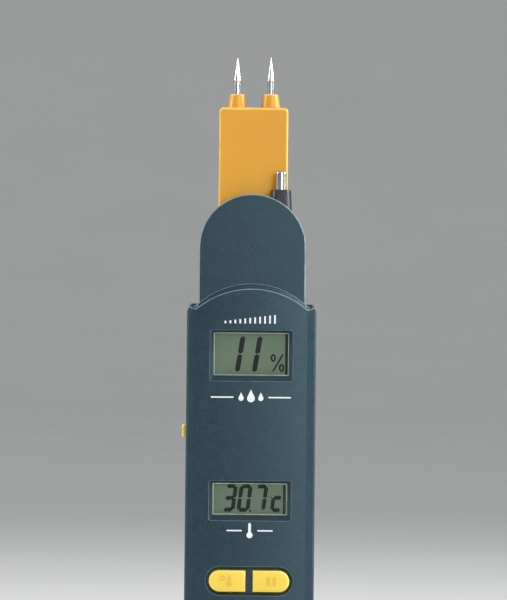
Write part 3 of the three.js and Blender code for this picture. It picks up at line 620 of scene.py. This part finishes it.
def window_cutter(window):
    """A funnel with round corners: the bevelled recess and the opening behind it."""
    x, z0, z1 = opening(window)

    def ring(share, y):
        side, top, bottom = (RECESS[key] * share for key in ("side", "top", "bottom"))
        return at_y(rounded_box(-x - side, x + side, z0 - bottom, z1 + top, 0.35 + 0.4 * share), y)
    depth = RECESS["depth"]
    return loft([ring(2, PANEL_FACE - depth), ring(0, PANEL_FACE + depth), ring(0, PANEL_FACE + 5)])


def button_outline(side, grow, steps=20):
    """The front view of one button: round outer end, square inner end."""
    half = BUTTON["half_height"] + grow
    inner = BUTTON["inner_end"] - grow
    round_end = arc(BUTTON["round_end"], BUTTON_Z, half, -90, 90, steps)
    points = [(inner, BUTTON_Z - half)] + round_end + [(inner, BUTTON_Z + half)]
    return points if side > 0 else [(-x, z) for x, z in reversed(points)]


def recess_cutter():
    """The shallow recess with round ends and a bevel that both buttons stand in."""
    def ring(share, y):
        grow = BUTTON_RECESS["bevel"] * (share - 1)
        half, radius = BUTTON_RECESS["half"] + grow, BUTTON_RECESS["radius"] + grow
        return at_y(rounded_box(-half, half, BUTTON_Z - radius, BUTTON_Z + radius, radius - 1e-3, 16), y)
    depth = BUTTON_RECESS["depth"]
    return loft([ring(2, PANEL_FACE - depth), ring(0, PANEL_FACE + depth)])


def sliced(made, step, depth=0):
    """Slices a mesh in front of a depth into strips across its width, so that it can be bowed.

    The slices are set off a little, so that none runs along the mesh's middle line.
    """
    def change(mesh):
        count = int(HALF_WIDTH / step)
        for i in range(-count, count + 1):
            faces = [face for face in mesh.faces if all(vert.co.y < depth for vert in face.verts)]
            geometry = list({item for face in faces for item in (*face.verts, *face.edges, face)})
            bmesh.ops.bisect_plane(mesh, geom=geometry, dist=1e-4, plane_co=(step * i + 0.01, 0, 0),
                                   plane_no=(1, 0, 0))
    return edit(made, change)


def crowned(made):
    """Bows the cover's face across its width: fully on the panel, slightly on the dome."""
    for vert in sliced(made, 1.5, PANEL_INSIDE).data.vertices:
        x, y, z = vert.co
        share = min(1, max(0, (THIN_BACK - y) / (THIN_BACK - DOME_FACE)))
        if abs(x) <= DOME_RADIUS and z > ARCH_END[1] - 1:
            upper = arc_height(x, ARCH_PEAK, ARCH_END)
            foot = arc_height(x, FOOT_PEAK, FOOT_END)
            up = min(1, max(0, (z - upper) / (foot - upper)))
            share *= 1 - (1 - DOME_CROWN) * up
        vert.co.y = y + share * x * x / (2 * CROWN_RADIUS)
    return made


def on_arch(point):
    """Whether a point lies on one of the two lines that edge the arch, which get a painted highlight."""
    near = [abs(point.z - arc_height(point.x, *line)) < 0.4
            for line in ((ARCH_PEAK, ARCH_END), (FOOT_PEAK, FOOT_END))]
    return any(near) and abs(point.x) < HALF_WIDTH - 3 and point.y < DOME_FACE + 0.8


def middles(names):
    """The places in x and z of pieces that lie along Y."""
    return [middle_of(name).xz for name in names]


def lip(outline, outer, inner, y0, y1):
    """A ring between two insets of an outline: a tongue, or the rebate that it enters."""
    return cut(slab(outline(outer), y0, y1), slab(outline(inner), y0 - 1, y1 + 1))


def rear_outline(inset):
    return below_peak(inset, inset * sqrt(2))


def cover_cavity():
    """The space inside the front cover, in tools whose faces never lie in one plane."""
    foot = body_foot(WALL) + [(19, 127.4), (18, 129.8), (-18, 129.8), (-19, 127.4)]
    return [
        slab(rear_outline(WALL), THIN_BACK - 0.3, COVER_BACK + 1),
        slab(foot, PANEL_INSIDE, THIN_BACK),
        slab(dome_outline(DOME_RADIUS - WALL, 112), DOME_INSIDE, THIN_BACK - 0.02),
        slab(above_peak(0), THIN_BACK - 0.05, COVER_BACK + 1),
    ]


def front_cover():
    """The panel and the dome as one shell, with posts for the screws and holes for all that shows."""
    rings = [at_y(panel_ring(depth, inset), PANEL_FACE + depth) for depth, inset in BANDS]
    rings.append(at_y(panel_ring(*BANDS[-1]), COVER_BACK))
    bands_end = PANEL_FACE + 1.8
    panel = rounded(loft(rings), 0.3, 3, lambda middle: middle.y < bands_end)
    dome_foot = 118  # hidden inside the panel
    dome = rounded(slab(dome_outline(DOME_RADIUS, dome_foot), DOME_FACE, THIN_BACK + 1), 0.4, 3,
                   lambda middle: middle.z > dome_foot + 1 and middle.y < DOME_FACE + 0.1)
    cover = join(panel, dome)
    cut(cover, window_cutter("moisture_window"), window_cutter("temperature_window"), recess_cutter())
    rims = (PANEL_FACE, PANEL_FACE + RECESS["depth"], PANEL_FACE + BUTTON_RECESS["depth"])
    rounded(cover, 0.25, 3, lambda middle: abs(middle.x) < 16 and middle.z < 124.5
            and min(abs(middle.y - level) for level in rims) < 0.01)
    crowned(cover)
    knob_low, knob_high = corners("switch_knob")
    slot = rounded_box(knob_low.y + 0.55, knob_high.y - 0.55, 84.9, 92.9, 0.6)
    cut(cover, *cover_cavity())
    post_foot = PANEL_INSIDE - 0.4
    case_post, case_hole = POST_SIZES["case"]
    plate_post, plate_hole = POST_SIZES["plate"]
    join(cover, *[bar_y(x, z, post_foot, COVER_BACK - 0.05, case_post) for x, z in middles(CASE_SCREWS)],
         *[bar_y(x, z, post_foot, PLATE_FRONT - GAP, plate_post) for x, z in middles(PLATE_SCREWS)])
    return cut(
        cover,
        *[bar_y(x, z, -9, COVER_BACK + 1, case_hole) for x, z in middles(CASE_SCREWS)],
        *[bar_y(x, z, -11, PLATE_FRONT + 1, plate_hole, 24) for x, z in middles(PLATE_SCREWS)],
        lip(rear_outline, 0.9, 2.1, COVER_BACK - 1.5, COVER_BACK + 1.5),
        probe_bar(PIVOT_Z, DOME_RADIUS + PIVOT_Z + 1, PROBE_HOLE, 36),
        slab(button_outline(-1, BUTTON_GAP), PANEL_FACE - 1, PANEL_INSIDE + 1),
        slab(button_outline(1, BUTTON_GAP), PANEL_FACE - 1, PANEL_INSIDE + 1),
        across(slot, -HALF_WIDTH - 1, -HALF_WIDTH + WALL + 1),
    )


# -------------------- rear cover and door

def rear_cover():
    """The rear half: a sloped shell with the battery bay, its rails and four screw columns."""
    back = [(UPPER_BACK, SLOPE_HIGH_Z), (LOWER_BACK, SLOPE_LOW_Z), (LOWER_BACK + 9, SLOPE_LOW_Z),
            (LOWER_BACK + 9, 150), (UPPER_BACK, 150)]
    shell = slab(below_peak(0, 0), REAR_LOW.y, LOWER_BACK)
    cut(shell, across(back, -HALF_WIDTH - 1, HALF_WIDTH + 1))
    rounded(shell, 1.4, 5, lambda middle: middle.y > UPPER_BACK - 0.1)
    rounded(shell, 0.2, 2, lambda middle: middle.y < REAR_LOW.y + 0.1, 30)
    bay_top = DOOR_HIGH.z + GAP
    hollow_low = slab(body_foot(WALL) + [(19, SLOPE_LOW_Z - 1), (-19, SLOPE_LOW_Z - 1)],
                      REAR_LOW.y - 1, LOWER_BACK - WALL)
    hollow_high = slab(rear_outline(WALL), REAR_LOW.y - 1, UPPER_BACK - WALL)
    cut(shell, hollow_low, hollow_high)
    rails = [block(min(a, b), max(a, b), 10.4, 12.1, 1, bay_top + 1.5)
             for a, b in ((-20, -13.85), (13.85, 20))]
    join(shell, block(-19.5, 19.5, REAR_LOW.y, LOWER_BACK - 1, bay_top + 1, bay_top + 2.4), *rails,
         lip(rear_outline, 1, 1.95, REAR_LOW.y - 1.5, REAR_LOW.y + 0.6))
    for name, (x, z) in zip(CASE_SCREWS, middles(CASE_SCREWS)):
        level = corners(name)[1].y + 1.3
        join(shell, bar_y(x, z, REAR_LOW.y + 0.05, level - 1, 3))
        sink = [(2.4, level - 3.2), (2.4, level - 0.35), (2.75, level + 0.01), (2.75, level + 1)]
        cut(shell, turned(sink, (x, 0, z), "Y", 40), bar_y(x, z, REAR_LOW.y - 1, level - 1, 1.5, 24))
    narrow, wide = DOOR_HIGH.x - 1.1, DOOR_HIGH.x + GAP
    front = DOOR_LOW.y - GAP
    return cut(
        shell,
        block(-narrow, narrow, DOOR_LOW.y - 2, LOWER_BACK + 1, WALL, bay_top),
        block(-narrow, narrow, front, LOWER_BACK + 1, -1, bay_top),
        block(-wide, wide, front, 13.3, -1, bay_top),
    )


def battery_door():
    """The door's plate and its wider flange, with a ribbed finger grip and an arrow."""
    narrow = DOOR_HIGH.x - 1.4
    top = DOOR_HIGH.z
    plate = slab(rounded_box(-narrow, narrow, 0, top, 0.5), DOOR_LOW.y, LOWER_BACK)
    rounded(plate, 0.35, 3, lambda middle: middle.y > LOWER_BACK - 0.1 and middle.z > 1)
    join(plate, block(-DOOR_HIGH.x, DOOR_HIGH.x, DOOR_LOW.y, 13, 0.02, top - 4))
    grip_mouth = at_y(rounded_box(-9.5, 9.5, 33.5, 50, 3.5), LOWER_BACK + 0.2)
    grip_floor = at_y(rounded_box(-9, 9, 34, 49.5, 3), LOWER_BACK - 0.5)
    cut(plate, loft([grip_mouth, grip_floor]))
    ridges = [across(arc(13.35, z, 0.55, 0, 360, 10)[:-1], -7, 7) for z in (42, 43.8, 45.6, 47.4)]
    arrow = slab([(-3.2, 39.6), (0, 35.6), (3.2, 39.6)], 13.2, LOWER_BACK - 0.15)
    return join(plate, *ridges, arrow)


# -------------------- measuring head

def socket_bores():
    """Tools for the two bores that hold the electrode sockets."""
    bores = []
    for side in ("left", "right"):
        low, high = corners(f"electrode_socket_{side}")
        middle = middle_of(f"electrode_socket_{side}")
        bores.append(turned([(2.3, low.z - 1), (2.3, high.z + 2)], (middle.x, middle.y, 0), "Z", 32))
    return bores


def head_room(y0, y1):
    """The space inside the head, up to the thick end wall that holds the sockets."""
    top = HEAD_END - 5.3
    half = SHELL_HIGH.x - HEAD_WALL
    steps = 40
    round_end = head_outline(HEAD_WALL, steps)[:steps + 1]
    return slab(round_end + [(half, top), (-half, top)], y0, y1)


def head_front_shell():
    """The half with the hub, the ball's housing, the stop pin and the screw posts."""
    back = SHELL_HIGH.y
    post, hole = POST_SIZES["head"]
    shell = slab(head_outline(0), HEAD_FRONT, back)
    rounded(shell, 0.75, 5, lambda middle: middle.y < HEAD_FRONT + 0.1)
    rounded(shell, 0.12, 2, lambda middle: middle.y > back - 0.01, 30)
    cut(shell, head_room(HEAD_FRONT + HEAD_WALL, back + 1))
    ball_x, ball_z = middles(["detent_ball"])[0]
    join(shell, bar_y(0, PIVOT_Z, HEAD_FRONT + 0.5, -1, 7.6),
         bar_y(ball_x, ball_z, HEAD_FRONT + 0.5, -0.2, 2.7),
         bar_y(0, PIVOT_Z - 6.8, SHELL_LOW.y, HEAD_FRONT + 1, 1, 24),
         *[bar_y(x, z, HEAD_FRONT + 0.5, back - 0.05, post) for x, z in middles(HEAD_SCREWS)])
    return cut(shell, bar_y(0, PIVOT_Z, -8, 2, 4.8), bar_y(ball_x, ball_z, -7, -0.9, 1.55, 32),
               *[bar_y(x, z, -4, back + 1, hole, 20) for x, z in middles(HEAD_SCREWS)],
               lip(head_outline, 0.62, 1.7, back - 1.3, back + 1), *socket_bores())


def head_rear_shell():
    """The half behind it, with a tongue on its rim and two sunk screw columns."""
    front = SHELL_BACK_LOW.y
    back = SHELL_BACK_HIGH.y
    shell = slab(head_outline(0), front, back)
    rounded(shell, 0.75, 5, lambda middle: middle.y > back - 0.1)
    rounded(shell, 0.12, 2, lambda middle: middle.y < front + 0.01, 30)
    cut(shell, head_room(front - 1, back - HEAD_WALL))
    join(shell, lip(head_outline, 0.7, 1.5, front - 1.3, front + 0.5))
    for x, z in middles(HEAD_SCREWS):
        join(shell, bar_y(x, z, front + 0.05, back - 0.5, 3.2))
        sink = [(2.2, back - 2), (2.2, back - 0.3), (2.5, back + 0.01), (2.5, back + 1)]
        cut(shell, turned(sink, (x, 0, z), "Y", 40), bar_y(x, z, front - 1, back - 1, 1.1, 20))
    return cut(shell, *socket_bores())


def electrode(side):
    """A steel pin: its foot in the socket, a shank, a small shoulder and a long point."""
    low, high = corners(f"electrode_{side}")
    middle = middle_of(f"electrode_{side}")
    shank, shoulder = 1.18, HEAD_END + 8.8
    profile = [
        (0, low.z), (0.9, low.z), (0.9, HEAD_END - 0.7), (shank, HEAD_END + 0.3), (shank, shoulder - 0.5),
        (shank - 0.1, shoulder - 0.35), (shank - 0.1, shoulder - 0.15), (shank + 0.03, shoulder),
        (shank + 0.07, shoulder + 0.25), (shank + 0.02, shoulder + 0.5), (0.62, shoulder + 4.2),
        (0.18, high.z - 0.9), (0.09, high.z - 0.25), (0, high.z),
    ]
    return turned(profile, (middle.x, middle.y, 0))


def electrode_collar(side):
    """The moulded sleeve that a pin stands in, a little wider at its foot."""
    low, high = corners(f"electrode_collar_{side}")
    middle = middle_of(f"electrode_collar_{side}")
    base, top = (high.x - low.x) / 2, 2.43
    bore = 1.45
    profile = [(bore, low.z), (base - 0.15, low.z), (base, low.z + 0.2)]
    profile += [(base - 0.05, low.z + 0.5)]
    profile += arc(top - 0.45, high.z - 0.5, 0.5, 8, 90, 5)
    profile += [(bore + 0.2, high.z), (bore, high.z - 0.25), (bore, low.z)]
    return ring_solid(profile, (middle.x, middle.y, 0))


def ring_solid(profile, centre):
    """A closed profile turned into a ring: the last point repeats the first."""
    made = turned(profile, centre)

    def change(mesh):
        caps = [face for face in mesh.faces if len(face.verts) > 4]
        bmesh.ops.delete(mesh, geom=caps, context="FACES_ONLY")
        bmesh.ops.remove_doubles(mesh, verts=mesh.verts, dist=1e-4)
    return edit(made, change)


# -------------------- probe

def probe_bar(z0, z1, radius, steps=40):
    """A plain bar on the probe's axis."""
    middle = middle_of("sensor_cap")
    return turned([(0, z0), (radius, z0), (radius, z1), (0, z1)], (middle.x, middle.y, 0), "Z", steps)


def sensor_socket():
    """The tapered plastic foot of the probe, on the dome's rim, with its neck in the dome's bore."""
    low, high = corners("sensor_socket")
    x, y = middle_of("sensor_cap").xy
    top = high.z
    profile = [(0, 158.5), (3.75, 159), (3.28, top - 0.5), (3.22, top - 0.2), (3, top), (0, top)]
    socket = turned(profile, (x, y, 0), "Z", 56)
    rim = bar_y(0, PIVOT_Z, -20, 5, DOME_RADIUS + 0.02, 160)
    cut(socket, rim, block(0, 20, -20, low.y, 140, 180), block(0, 20, high.y, 10, 140, 180))
    join(socket, probe_bar(low.z, top - 2, PROBE_NECK))
    seat = [(0, top - 2.9), (1.95, top - 2.9), (1.95, top - 0.2), (2.15, top + 0.05), (2.15, top + 1),
            (0, top + 1)]
    return cut(socket, turned(seat, (x, y, 0), "Z", 56), probe_bar(low.z - 1, top, PROBE_BORE, 24))


def sensor_cap():
    """A thin metal cap, open at its lower end."""
    low, high = corners("sensor_cap")
    middle = middle_of("sensor_cap")
    radius = (high.x - low.x) / 2
    inner = radius - 0.35
    inside = [(0, high.z - 0.4), (inner - 0.4, high.z - 0.4), (inner, high.z - 0.9), (inner, low.z)]
    tip = arc(radius - 0.75, high.z - 0.75, 0.75, 0, 90, 8)
    profile = inside + [(radius, low.z)] + tip + [(0, high.z)]
    return turned(profile, (middle.x, middle.y, 0), "Z", 56)


# -------------------- controls

def button_node(side):
    return "unit_button" if side < 0 else "hold_button"


def push_button(side):
    """A slightly pillowed cap on its flange and plunger."""
    low, high = corners(button_node(side))
    middle = middle_of(button_node(side))
    front = low.y + BUTTON_MARK
    rims = [(0, 1.1), (0.03, 0.7), (0.12, 0.32), (0.3, 0.09), (0.55, 0)]
    rings = [at_y(button_outline(side, -inset), front + depth) for depth, inset in rims]
    rings.append(at_y(button_outline(side, 0), PANEL_INSIDE + 0.4))
    flange_low, flange_high = sorted((side * 0.5, side * 13.9))
    flange = block(flange_low, flange_high, PANEL_INSIDE + 0.3, PANEL_INSIDE + 1, low.z, high.z)
    plunger = bar_y(middle.x, middle.z, PANEL_INSIDE + 0.5, high.y, 1.5, 24)
    return join(loft(rings), flange, plunger)


def button_mark(side):
    """A raised pictogram: a degree ring beside a thermometer, or two pause bars."""
    middle = middle_of(button_node(side))
    front = BUTTON_LOW.y
    back = front + BUTTON_MARK + 0.1
    if side > 0:
        z0, z1 = middle.z - 1.5, middle.z + 1.5
        return join(*[slab(rounded_box(x - 0.5, x + 0.5, z0, z1, 0.25), front, back)
                      for x in (middle.x - 1, middle.x + 1)])
    x, z = middle.x + 0.8, middle.z
    stem = slab(rounded_box(x - 0.42, x + 0.42, z - 1, z + 1.9, 0.4), front, back)
    bulb = bar_y(x, z - 1.1, front + 0.01, back - 0.01, 0.85, 32)
    degree = cut(bar_y(x - 2.2, z + 1, front, back, 0.85, 32),
                 bar_y(x - 2.2, z + 1, front - 1, back + 1, 0.42, 24))
    return join(stem, bulb, degree)


def switch_knob():
    """A grooved knob on a flange inside the cover, with the arm that moves the switch."""
    low, high = corners("switch_knob")
    z, y = (low.z + high.z) / 2, (low.y + high.y) / 2
    rims = [(low.x, 0.75), (low.x + 0.1, 0.42), (low.x + 0.35, 0.15), (low.x + 0.8, 0)]
    rings = [[(x, a, b) for a, b in rounded_box(y - 1.5 + inset, y + 1.5 - inset, z - 2.2 + inset,
                                                z + 2.2 - inset, 0.7)] for x, inset in rims]
    rings.append([(-18.3, a, b) for a, b in rounded_box(y - 1.5, y + 1.5, z - 2.2, z + 2.2, 0.7)])
    knob = loft(rings)
    grooves = [block(low.x - 1, low.x + 0.25, y - 2, y + 2, z + step - 0.17, z + step + 0.17)
               for step in (-0.8, 0, 0.8)]
    cut(knob, *grooves)
    flange = block(-18.7, -18, low.y, high.y, low.z, high.z)
    arm = block(-18.4, high.x, y - 0.6, y + 0.6, z - 1, z + 1)
    return join(knob, flange, arm)


# -------------------- displays and prints

SEGMENTS = {"1": "bc", "0": "abcdef", "3": "abcdg", "7": "abc", "c": "deg"}


def bar(start, end, width, slant, foot):
    """One display segment: a bar with pointed ends, slanted about its foot line."""
    (x0, z0), (x1, z1) = start, end
    along = Vector((x1 - x0, z1 - z0)).normalized()
    aside = Vector((-along.y, along.x)) * width / 2
    tip = along * width * 0.3
    a, b = Vector(start), Vector(end)
    points = [a, a + tip + aside, b - tip + aside, b, b - tip - aside, a + tip - aside]
    return [(p.x + slant * (p.y - foot), p.y) for p in points]


def digit(character, x, foot, width, height, stroke, slant):
    """The segment outlines of one seven-segment character, with x at its left edge."""
    half, gap = height / 2, 0.05
    left, right = x + stroke / 2, x + width - stroke / 2
    low, middle, high = foot + stroke / 2, foot + half, foot + height - stroke / 2
    lines = {
        "a": ((left + gap, high), (right - gap, high)),
        "g": ((left + gap, middle), (right - gap, middle)),
        "d": ((left + gap, low), (right - gap, low)),
        "f": ((left, middle + gap), (left, high - gap)),
        "b": ((right, middle + gap), (right, high - gap)),
        "e": ((left, low + gap), (left, middle - gap)),
        "c": ((right, low + gap), (right, middle - gap)),
    }
    return [bar(*lines[name], stroke, slant, foot) for name in SEGMENTS[character]]


def flat_marks(outlines, y, thickness=0.05):
    """Thin raised shapes on a face: each outline is one closed prism."""
    made = bmesh.new()
    for outline in outlines:
        near = [made.verts.new((a, y - thickness, b)) for a, b in outline]
        far = [made.verts.new((a, y, b)) for a, b in outline]
        made.faces.new(near)
        made.faces.new(list(reversed(far)))
        for i in range(len(near)):
            j = (i + 1) % len(near)
            made.faces.new((near[j], near[i], far[i], far[j]))
    return work(made)


def ring_outlines(x, z, width, height, stroke, steps=24):
    """An upright oval ring as a fan of short quads."""
    quads = []
    for i in range(steps):
        a, b = 2 * pi * i / steps, 2 * pi * (i + 1) / steps
        outer = [(x + width / 2 * cos(t), z + height / 2 * sin(t)) for t in (a, b)]
        inner = [(x + (width / 2 - stroke) * cos(t), z + (height / 2 - stroke) * sin(t)) for t in (b, a)]
        quads.append(outer + inner)
    return quads


def painted_shadow_strip(window, inset, width):
    """A painted shadow: an upright dark strip near the right-hand end of a display, where the opening's right wall
    shades it.
    """
    half, z0, z1 = opening(window)
    x = half - inset
    return rounded_box(x - width, x, z0, z1, 0.1, 2)


def moisture_readout():
    """The figure 11 and a percent sign, with the painted shadow strip beside them."""
    foot = 109.9
    outlines = []
    for x in (-7.6, -2.05):
        outlines += digit("1", x, foot - 1, 3.7, 13.2, 1.6, 0.16)
    for x, z in ((7.1, foot + 4.4), (9.8, foot + 1.2)):
        outlines += ring_outlines(x, z, 1.8, 2.6, 0.6)
    outlines.append([(6.7, foot), (7.35, foot), (10.5, foot + 5.6), (9.85, foot + 5.6)])
    return outlines + [painted_shadow_strip("moisture_window", 0.3, 1)]


def temperature_readout():
    """The figure 30.7, two dots and a small c, with the painted shadow strip beside them."""
    foot = 64.4
    outlines = []
    for character, x in (("3", -9.2), ("0", -4.4), ("7", 0.7)):
        outlines += digit(character, x, foot, 4.2, 8.9, 1.3, 0.13)
    outlines += digit("c", 6.5, foot, 3.9, 9.3, 1.25, 0.1)
    outlines.append(rounded_box(-0.15, 0.5, foot, foot + 0.65, 0.1))
    outlines += [rounded_box(6.2 + a, 6.5 + a, foot + 4.6, foot + 4.9, 0.05) for a in (0, 0.6)]
    return outlines + [painted_shadow_strip("temperature_window", 0.8, 0.6)]


def droplet(x, z, size, steps=20):
    """A drop: a round foot drawn up to a point."""
    bowl = arc(x, z, size, 160, 380, steps)
    return bowl + [(x, z + 2.3 * size)]


def thermometer(x, z):
    """A round bulb under a stem with a round top."""
    bulb = arc(x, z - 1.5, 1.0, 117, 423, 20)
    stem = arc(x, z + 2, 0.45, 0, 180, 8)
    return bulb + stem


def prints():
    """White pictograms: a rising scale, drops between rules, a thermometer between rules."""
    outlines = []
    for i in range(11):
        x = -8.5 + 1.6 * i
        foot, top = 125.4, 125.4 + (0.8 + 0.2 * i)
        outlines.append([(x - 0.28, foot), (x + 0.28, foot), (x + 0.28, top), (x - 0.28, top)])
    outlines += [droplet(x, 101.2, size) for x, size in ((-3.2, 0.85), (0, 1.25), (3.2, 0.85))]
    outlines += [rounded_box(a, a + 7.4, 101.3, 101.75, 0.2, 3) for a in (-13, 5.6)]
    outlines.append(thermometer(0, 58.5))
    outlines += [rounded_box(a, a + 5, 58.2, 58.65, 0.2, 3) for a in (-7.5, 2.5)]
    return outlines


def crowned_prints():
    """The prints, bowed like the panel that they lie on."""
    made = sliced(flat_marks(prints(), PANEL_FACE + 0.015, 0.03), 0.75)
    for vert in made.data.vertices:
        vert.co.y += vert.co.x ** 2 / (2 * CROWN_RADIUS)
    return made


def display_plate(node, corner, rounding):
    """A flat plate of a CAD node's size, with round corners and rounded edges."""
    low, high = corners(node)
    made = slab(rounded_box(low.x, high.x, low.z, high.z, corner), low.y, high.y)
    return rounded(made, rounding, 2, angle=60)


def lens_frame(node):
    """A narrow moulded rim on the lens, just inside the cover's opening; its pale colour is a painted highlight
    along the opening's edge.
    """
    face = corners(node)[0].y
    x, z0, z1 = opening(node)
    outer = slab(rounded_box(-x + 0.03, x - 0.03, z0 + 0.03, z1 - 0.03, 0.3), face - 0.2, face)
    rounded(outer, 0.1, 3, lambda middle: middle.y < face - 0.19, 60)
    return cut(outer, slab(rounded_box(-x + 0.4, x - 0.4, z0 + 0.4, z1 - 0.4, 0.2), face - 1, face + 1))


# -------------------- screws

def cross_screw(name):
    """A pan head with a cross recess on a threaded shank."""
    low, high = corners(name)
    x, z = (low.x + high.x) / 2, (low.z + high.z) / 2
    head = (high.x - low.x) / 2
    shank, thick = SCREW_SIZES[name.split("_")[0]]
    profile = [(0, low.y), (0.4 * shank, low.y), (shank, low.y + 0.9)]
    pitch, place = 0.55, low.y + 1.2
    while place < high.y - thick - 1:
        profile += [(shank, place), (0.87 * shank, place + pitch / 2)]
        place += pitch
    profile += [(shank, high.y - thick - 0.2), (head - 0.1, high.y - thick), (head, high.y - thick + 0.15)]
    profile += arc(head - 0.5, high.y - 0.5, 0.5, 0, 90, 5)
    profile.append((0, high.y))
    made = turned(profile, (x, 0, z), "Y", 40)
    arm, half, deep = 0.55 * head, 0.13 * head, high.y - 0.55 * thick
    return cut(made, block(x - arm, x + arm, deep, high.y + 1, z - half, z + half),
               block(x - half, x + half, deep, high.y + 1, z - arm, z + arm))


# -------------------- assembly

def build_pieces():
    # The arch's two edge lines are lightened as painted highlights.
    finish(front_cover(), "front_cover_skin", SLATE, "housing", ["front_cover"],
           painted_highlight=on_arch)
    finish(rear_cover(), "rear_cover_skin", SLATE, "housing", ["rear_cover"])
    finish(battery_door(), "battery_door_skin", SLATE, "battery_door", ["battery_door"])
    finish(sensor_socket(), "probe_socket", CHARCOAL, "housing", ["sensor_socket"])
    finish(sensor_cap(), "probe_cap", CHROME, "housing", ["sensor_cap"])
    finish(head_front_shell(), "head_front_skin", YELLOW, "head", ["head_front_shell"])
    finish(head_rear_shell(), "head_rear_skin", YELLOW, "head", ["head_rear_shell"])
    for side in ("left", "right"):
        finish(electrode(side), f"pin_{side}", CHROME, "head", [f"electrode_{side}"])
        finish(electrode_collar(side), f"collar_{side}", YELLOW, "head",
               [f"electrode_collar_{side}"])
    for name, side in (("unit_button", -1), ("hold_button", 1)):
        finish(push_button(side), f"{name}_cap", LEMON, name, [name])
        finish(button_mark(side), f"{name}_mark", AMBER_PRINT, name)
    finish(switch_knob(), "switch_knob_cap", LEMON, "switch_knob", ["switch_knob"])
    for name in ("moisture", "temperature"):
        display, window = f"{name}_display", f"{name}_window"
        finish(display_plate(display, 0.3, 0.08), f"{name}_lcd", LCD, "housing", [display])
        finish(display_plate(window, 0.8, 0.12), f"{name}_lens", CLEAR, "housing", [window])
        # The rim's pale colour paints the highlight on the opening's edge.
        finish(lens_frame(window), f"{name}_lens_rim_highlight", RIM_HIGHLIGHT, "housing")
    face = corners("moisture_display")[0].y
    # The digits pieces also hold the painted shadow strips.
    finish(flat_marks(moisture_readout(), face), "moisture_digits", INK, "housing")
    finish(flat_marks(temperature_readout(), face), "temperature_digits", INK, "housing")
    finish(crowned_prints(), "panel_prints", PRINT, "housing")
    for name in (*CASE_SCREWS, *PLATE_SCREWS, *HEAD_SCREWS):
        body = "head" if name in HEAD_SCREWS else "housing"
        finish(cross_screw(name), f"{name}_fine", SCREW_STEEL, body, [name])


# -------------------- studio

LAMP_SPREAD = 60  # degrees
PAPER_FLAT, PAPER_BEND = 4, 3  # metres
PAPER_LEVEL = -0.0005  # metres, just below the meter's foot


def area_light(name, place, target, width, height, watts):
    light = bpy.data.lights.new(name, "AREA")
    light.shape = "RECTANGLE"
    light.size, light.size_y = width, height
    light.energy = watts
    light.spread = radians(LAMP_SPREAD)
    lamp = bpy.data.objects.new(name, light)
    lamp.location = place
    lamp.rotation_euler = (Vector(target) - Vector(place)).to_track_quat("-Z", "Y").to_euler()
    bpy.context.scene.collection.objects.link(lamp)


def floor():
    """A pale round floor that curves up into a wall on all sides."""
    steps = 96
    profile = [(PAPER_FLAT + out, PAPER_BEND + up + PAPER_LEVEL)
               for out, up in arc(0, 0, PAPER_BEND, -90, 0, 24)]
    made = bmesh.new()
    rings = [[made.verts.new((*point, z)) for point in arc(0, 0, radius, 0, 360, steps)[:-1]]
             for radius, z in profile]
    for near, far in zip(rings, rings[1:]):
        for i in range(steps):
            j = (i + 1) % steps
            made.faces.new((near[i], far[i], far[j], near[j]))
    made.faces.new(rings[0])
    ground = work(made)
    ground.name = "studio_floor"
    for face in ground.data.polygons:
        face.use_smooth = True
    look = Look("studio_paper", Roughness=0.9, Specular_IOR_Level=0.1)
    look.colour(look.blend(look.noise(6), (0.6, 0.6, 0.595), (0.64, 0.64, 0.635)))
    ground.data.materials.append(look.material)


def studio():
    floor()
    middle = (0, 0, 0.13)
    area_light("key_right", (0.7, -1.95, 0.6), middle, 1, 1.1, 3.3)
    area_light("side_right", (2.1, 0, 0.9), middle, 0.85, 1.1, 8)
    area_light("side_left", (-2.1, -0.12, 0.9), middle, 0.5, 1.1, 3.6)
    area_light("top_back", (-0.4, 1.2, 1.8), middle, 1.4, 1, 1.7)
    world = bpy.data.worlds.new("studio")
    world.use_nodes = True
    world.node_tree.nodes["Background"].inputs["Color"].default_value = (0.97, 0.985, 1, 1)
    world.node_tree.nodes["Background"].inputs["Strength"].default_value = 0.6
    bpy.context.scene.world = world
    bpy.context.scene.view_settings.view_transform = "Standard"


def camera():
    """A long lens level with the meter, framing it from its buttons to above its pins."""
    shown_height = 0.1939
    distance = 1.6
    aim = Vector((0.0005, PANEL_FACE * MM, 0.133))
    data = bpy.data.cameras.new("camera")
    data.sensor_fit = "VERTICAL"
    data.sensor_height = 36
    data.lens = data.sensor_height * distance / shown_height
    made = bpy.data.objects.new("camera", data)
    made.location = aim + Vector((0, -distance, 0))
    made.rotation_euler = (radians(90), radians(-0.6), 0)
    bpy.context.scene.collection.objects.link(made)
    bpy.context.scene.camera = made


camera()
studio()
dress_cad_nodes()
build_pieces()
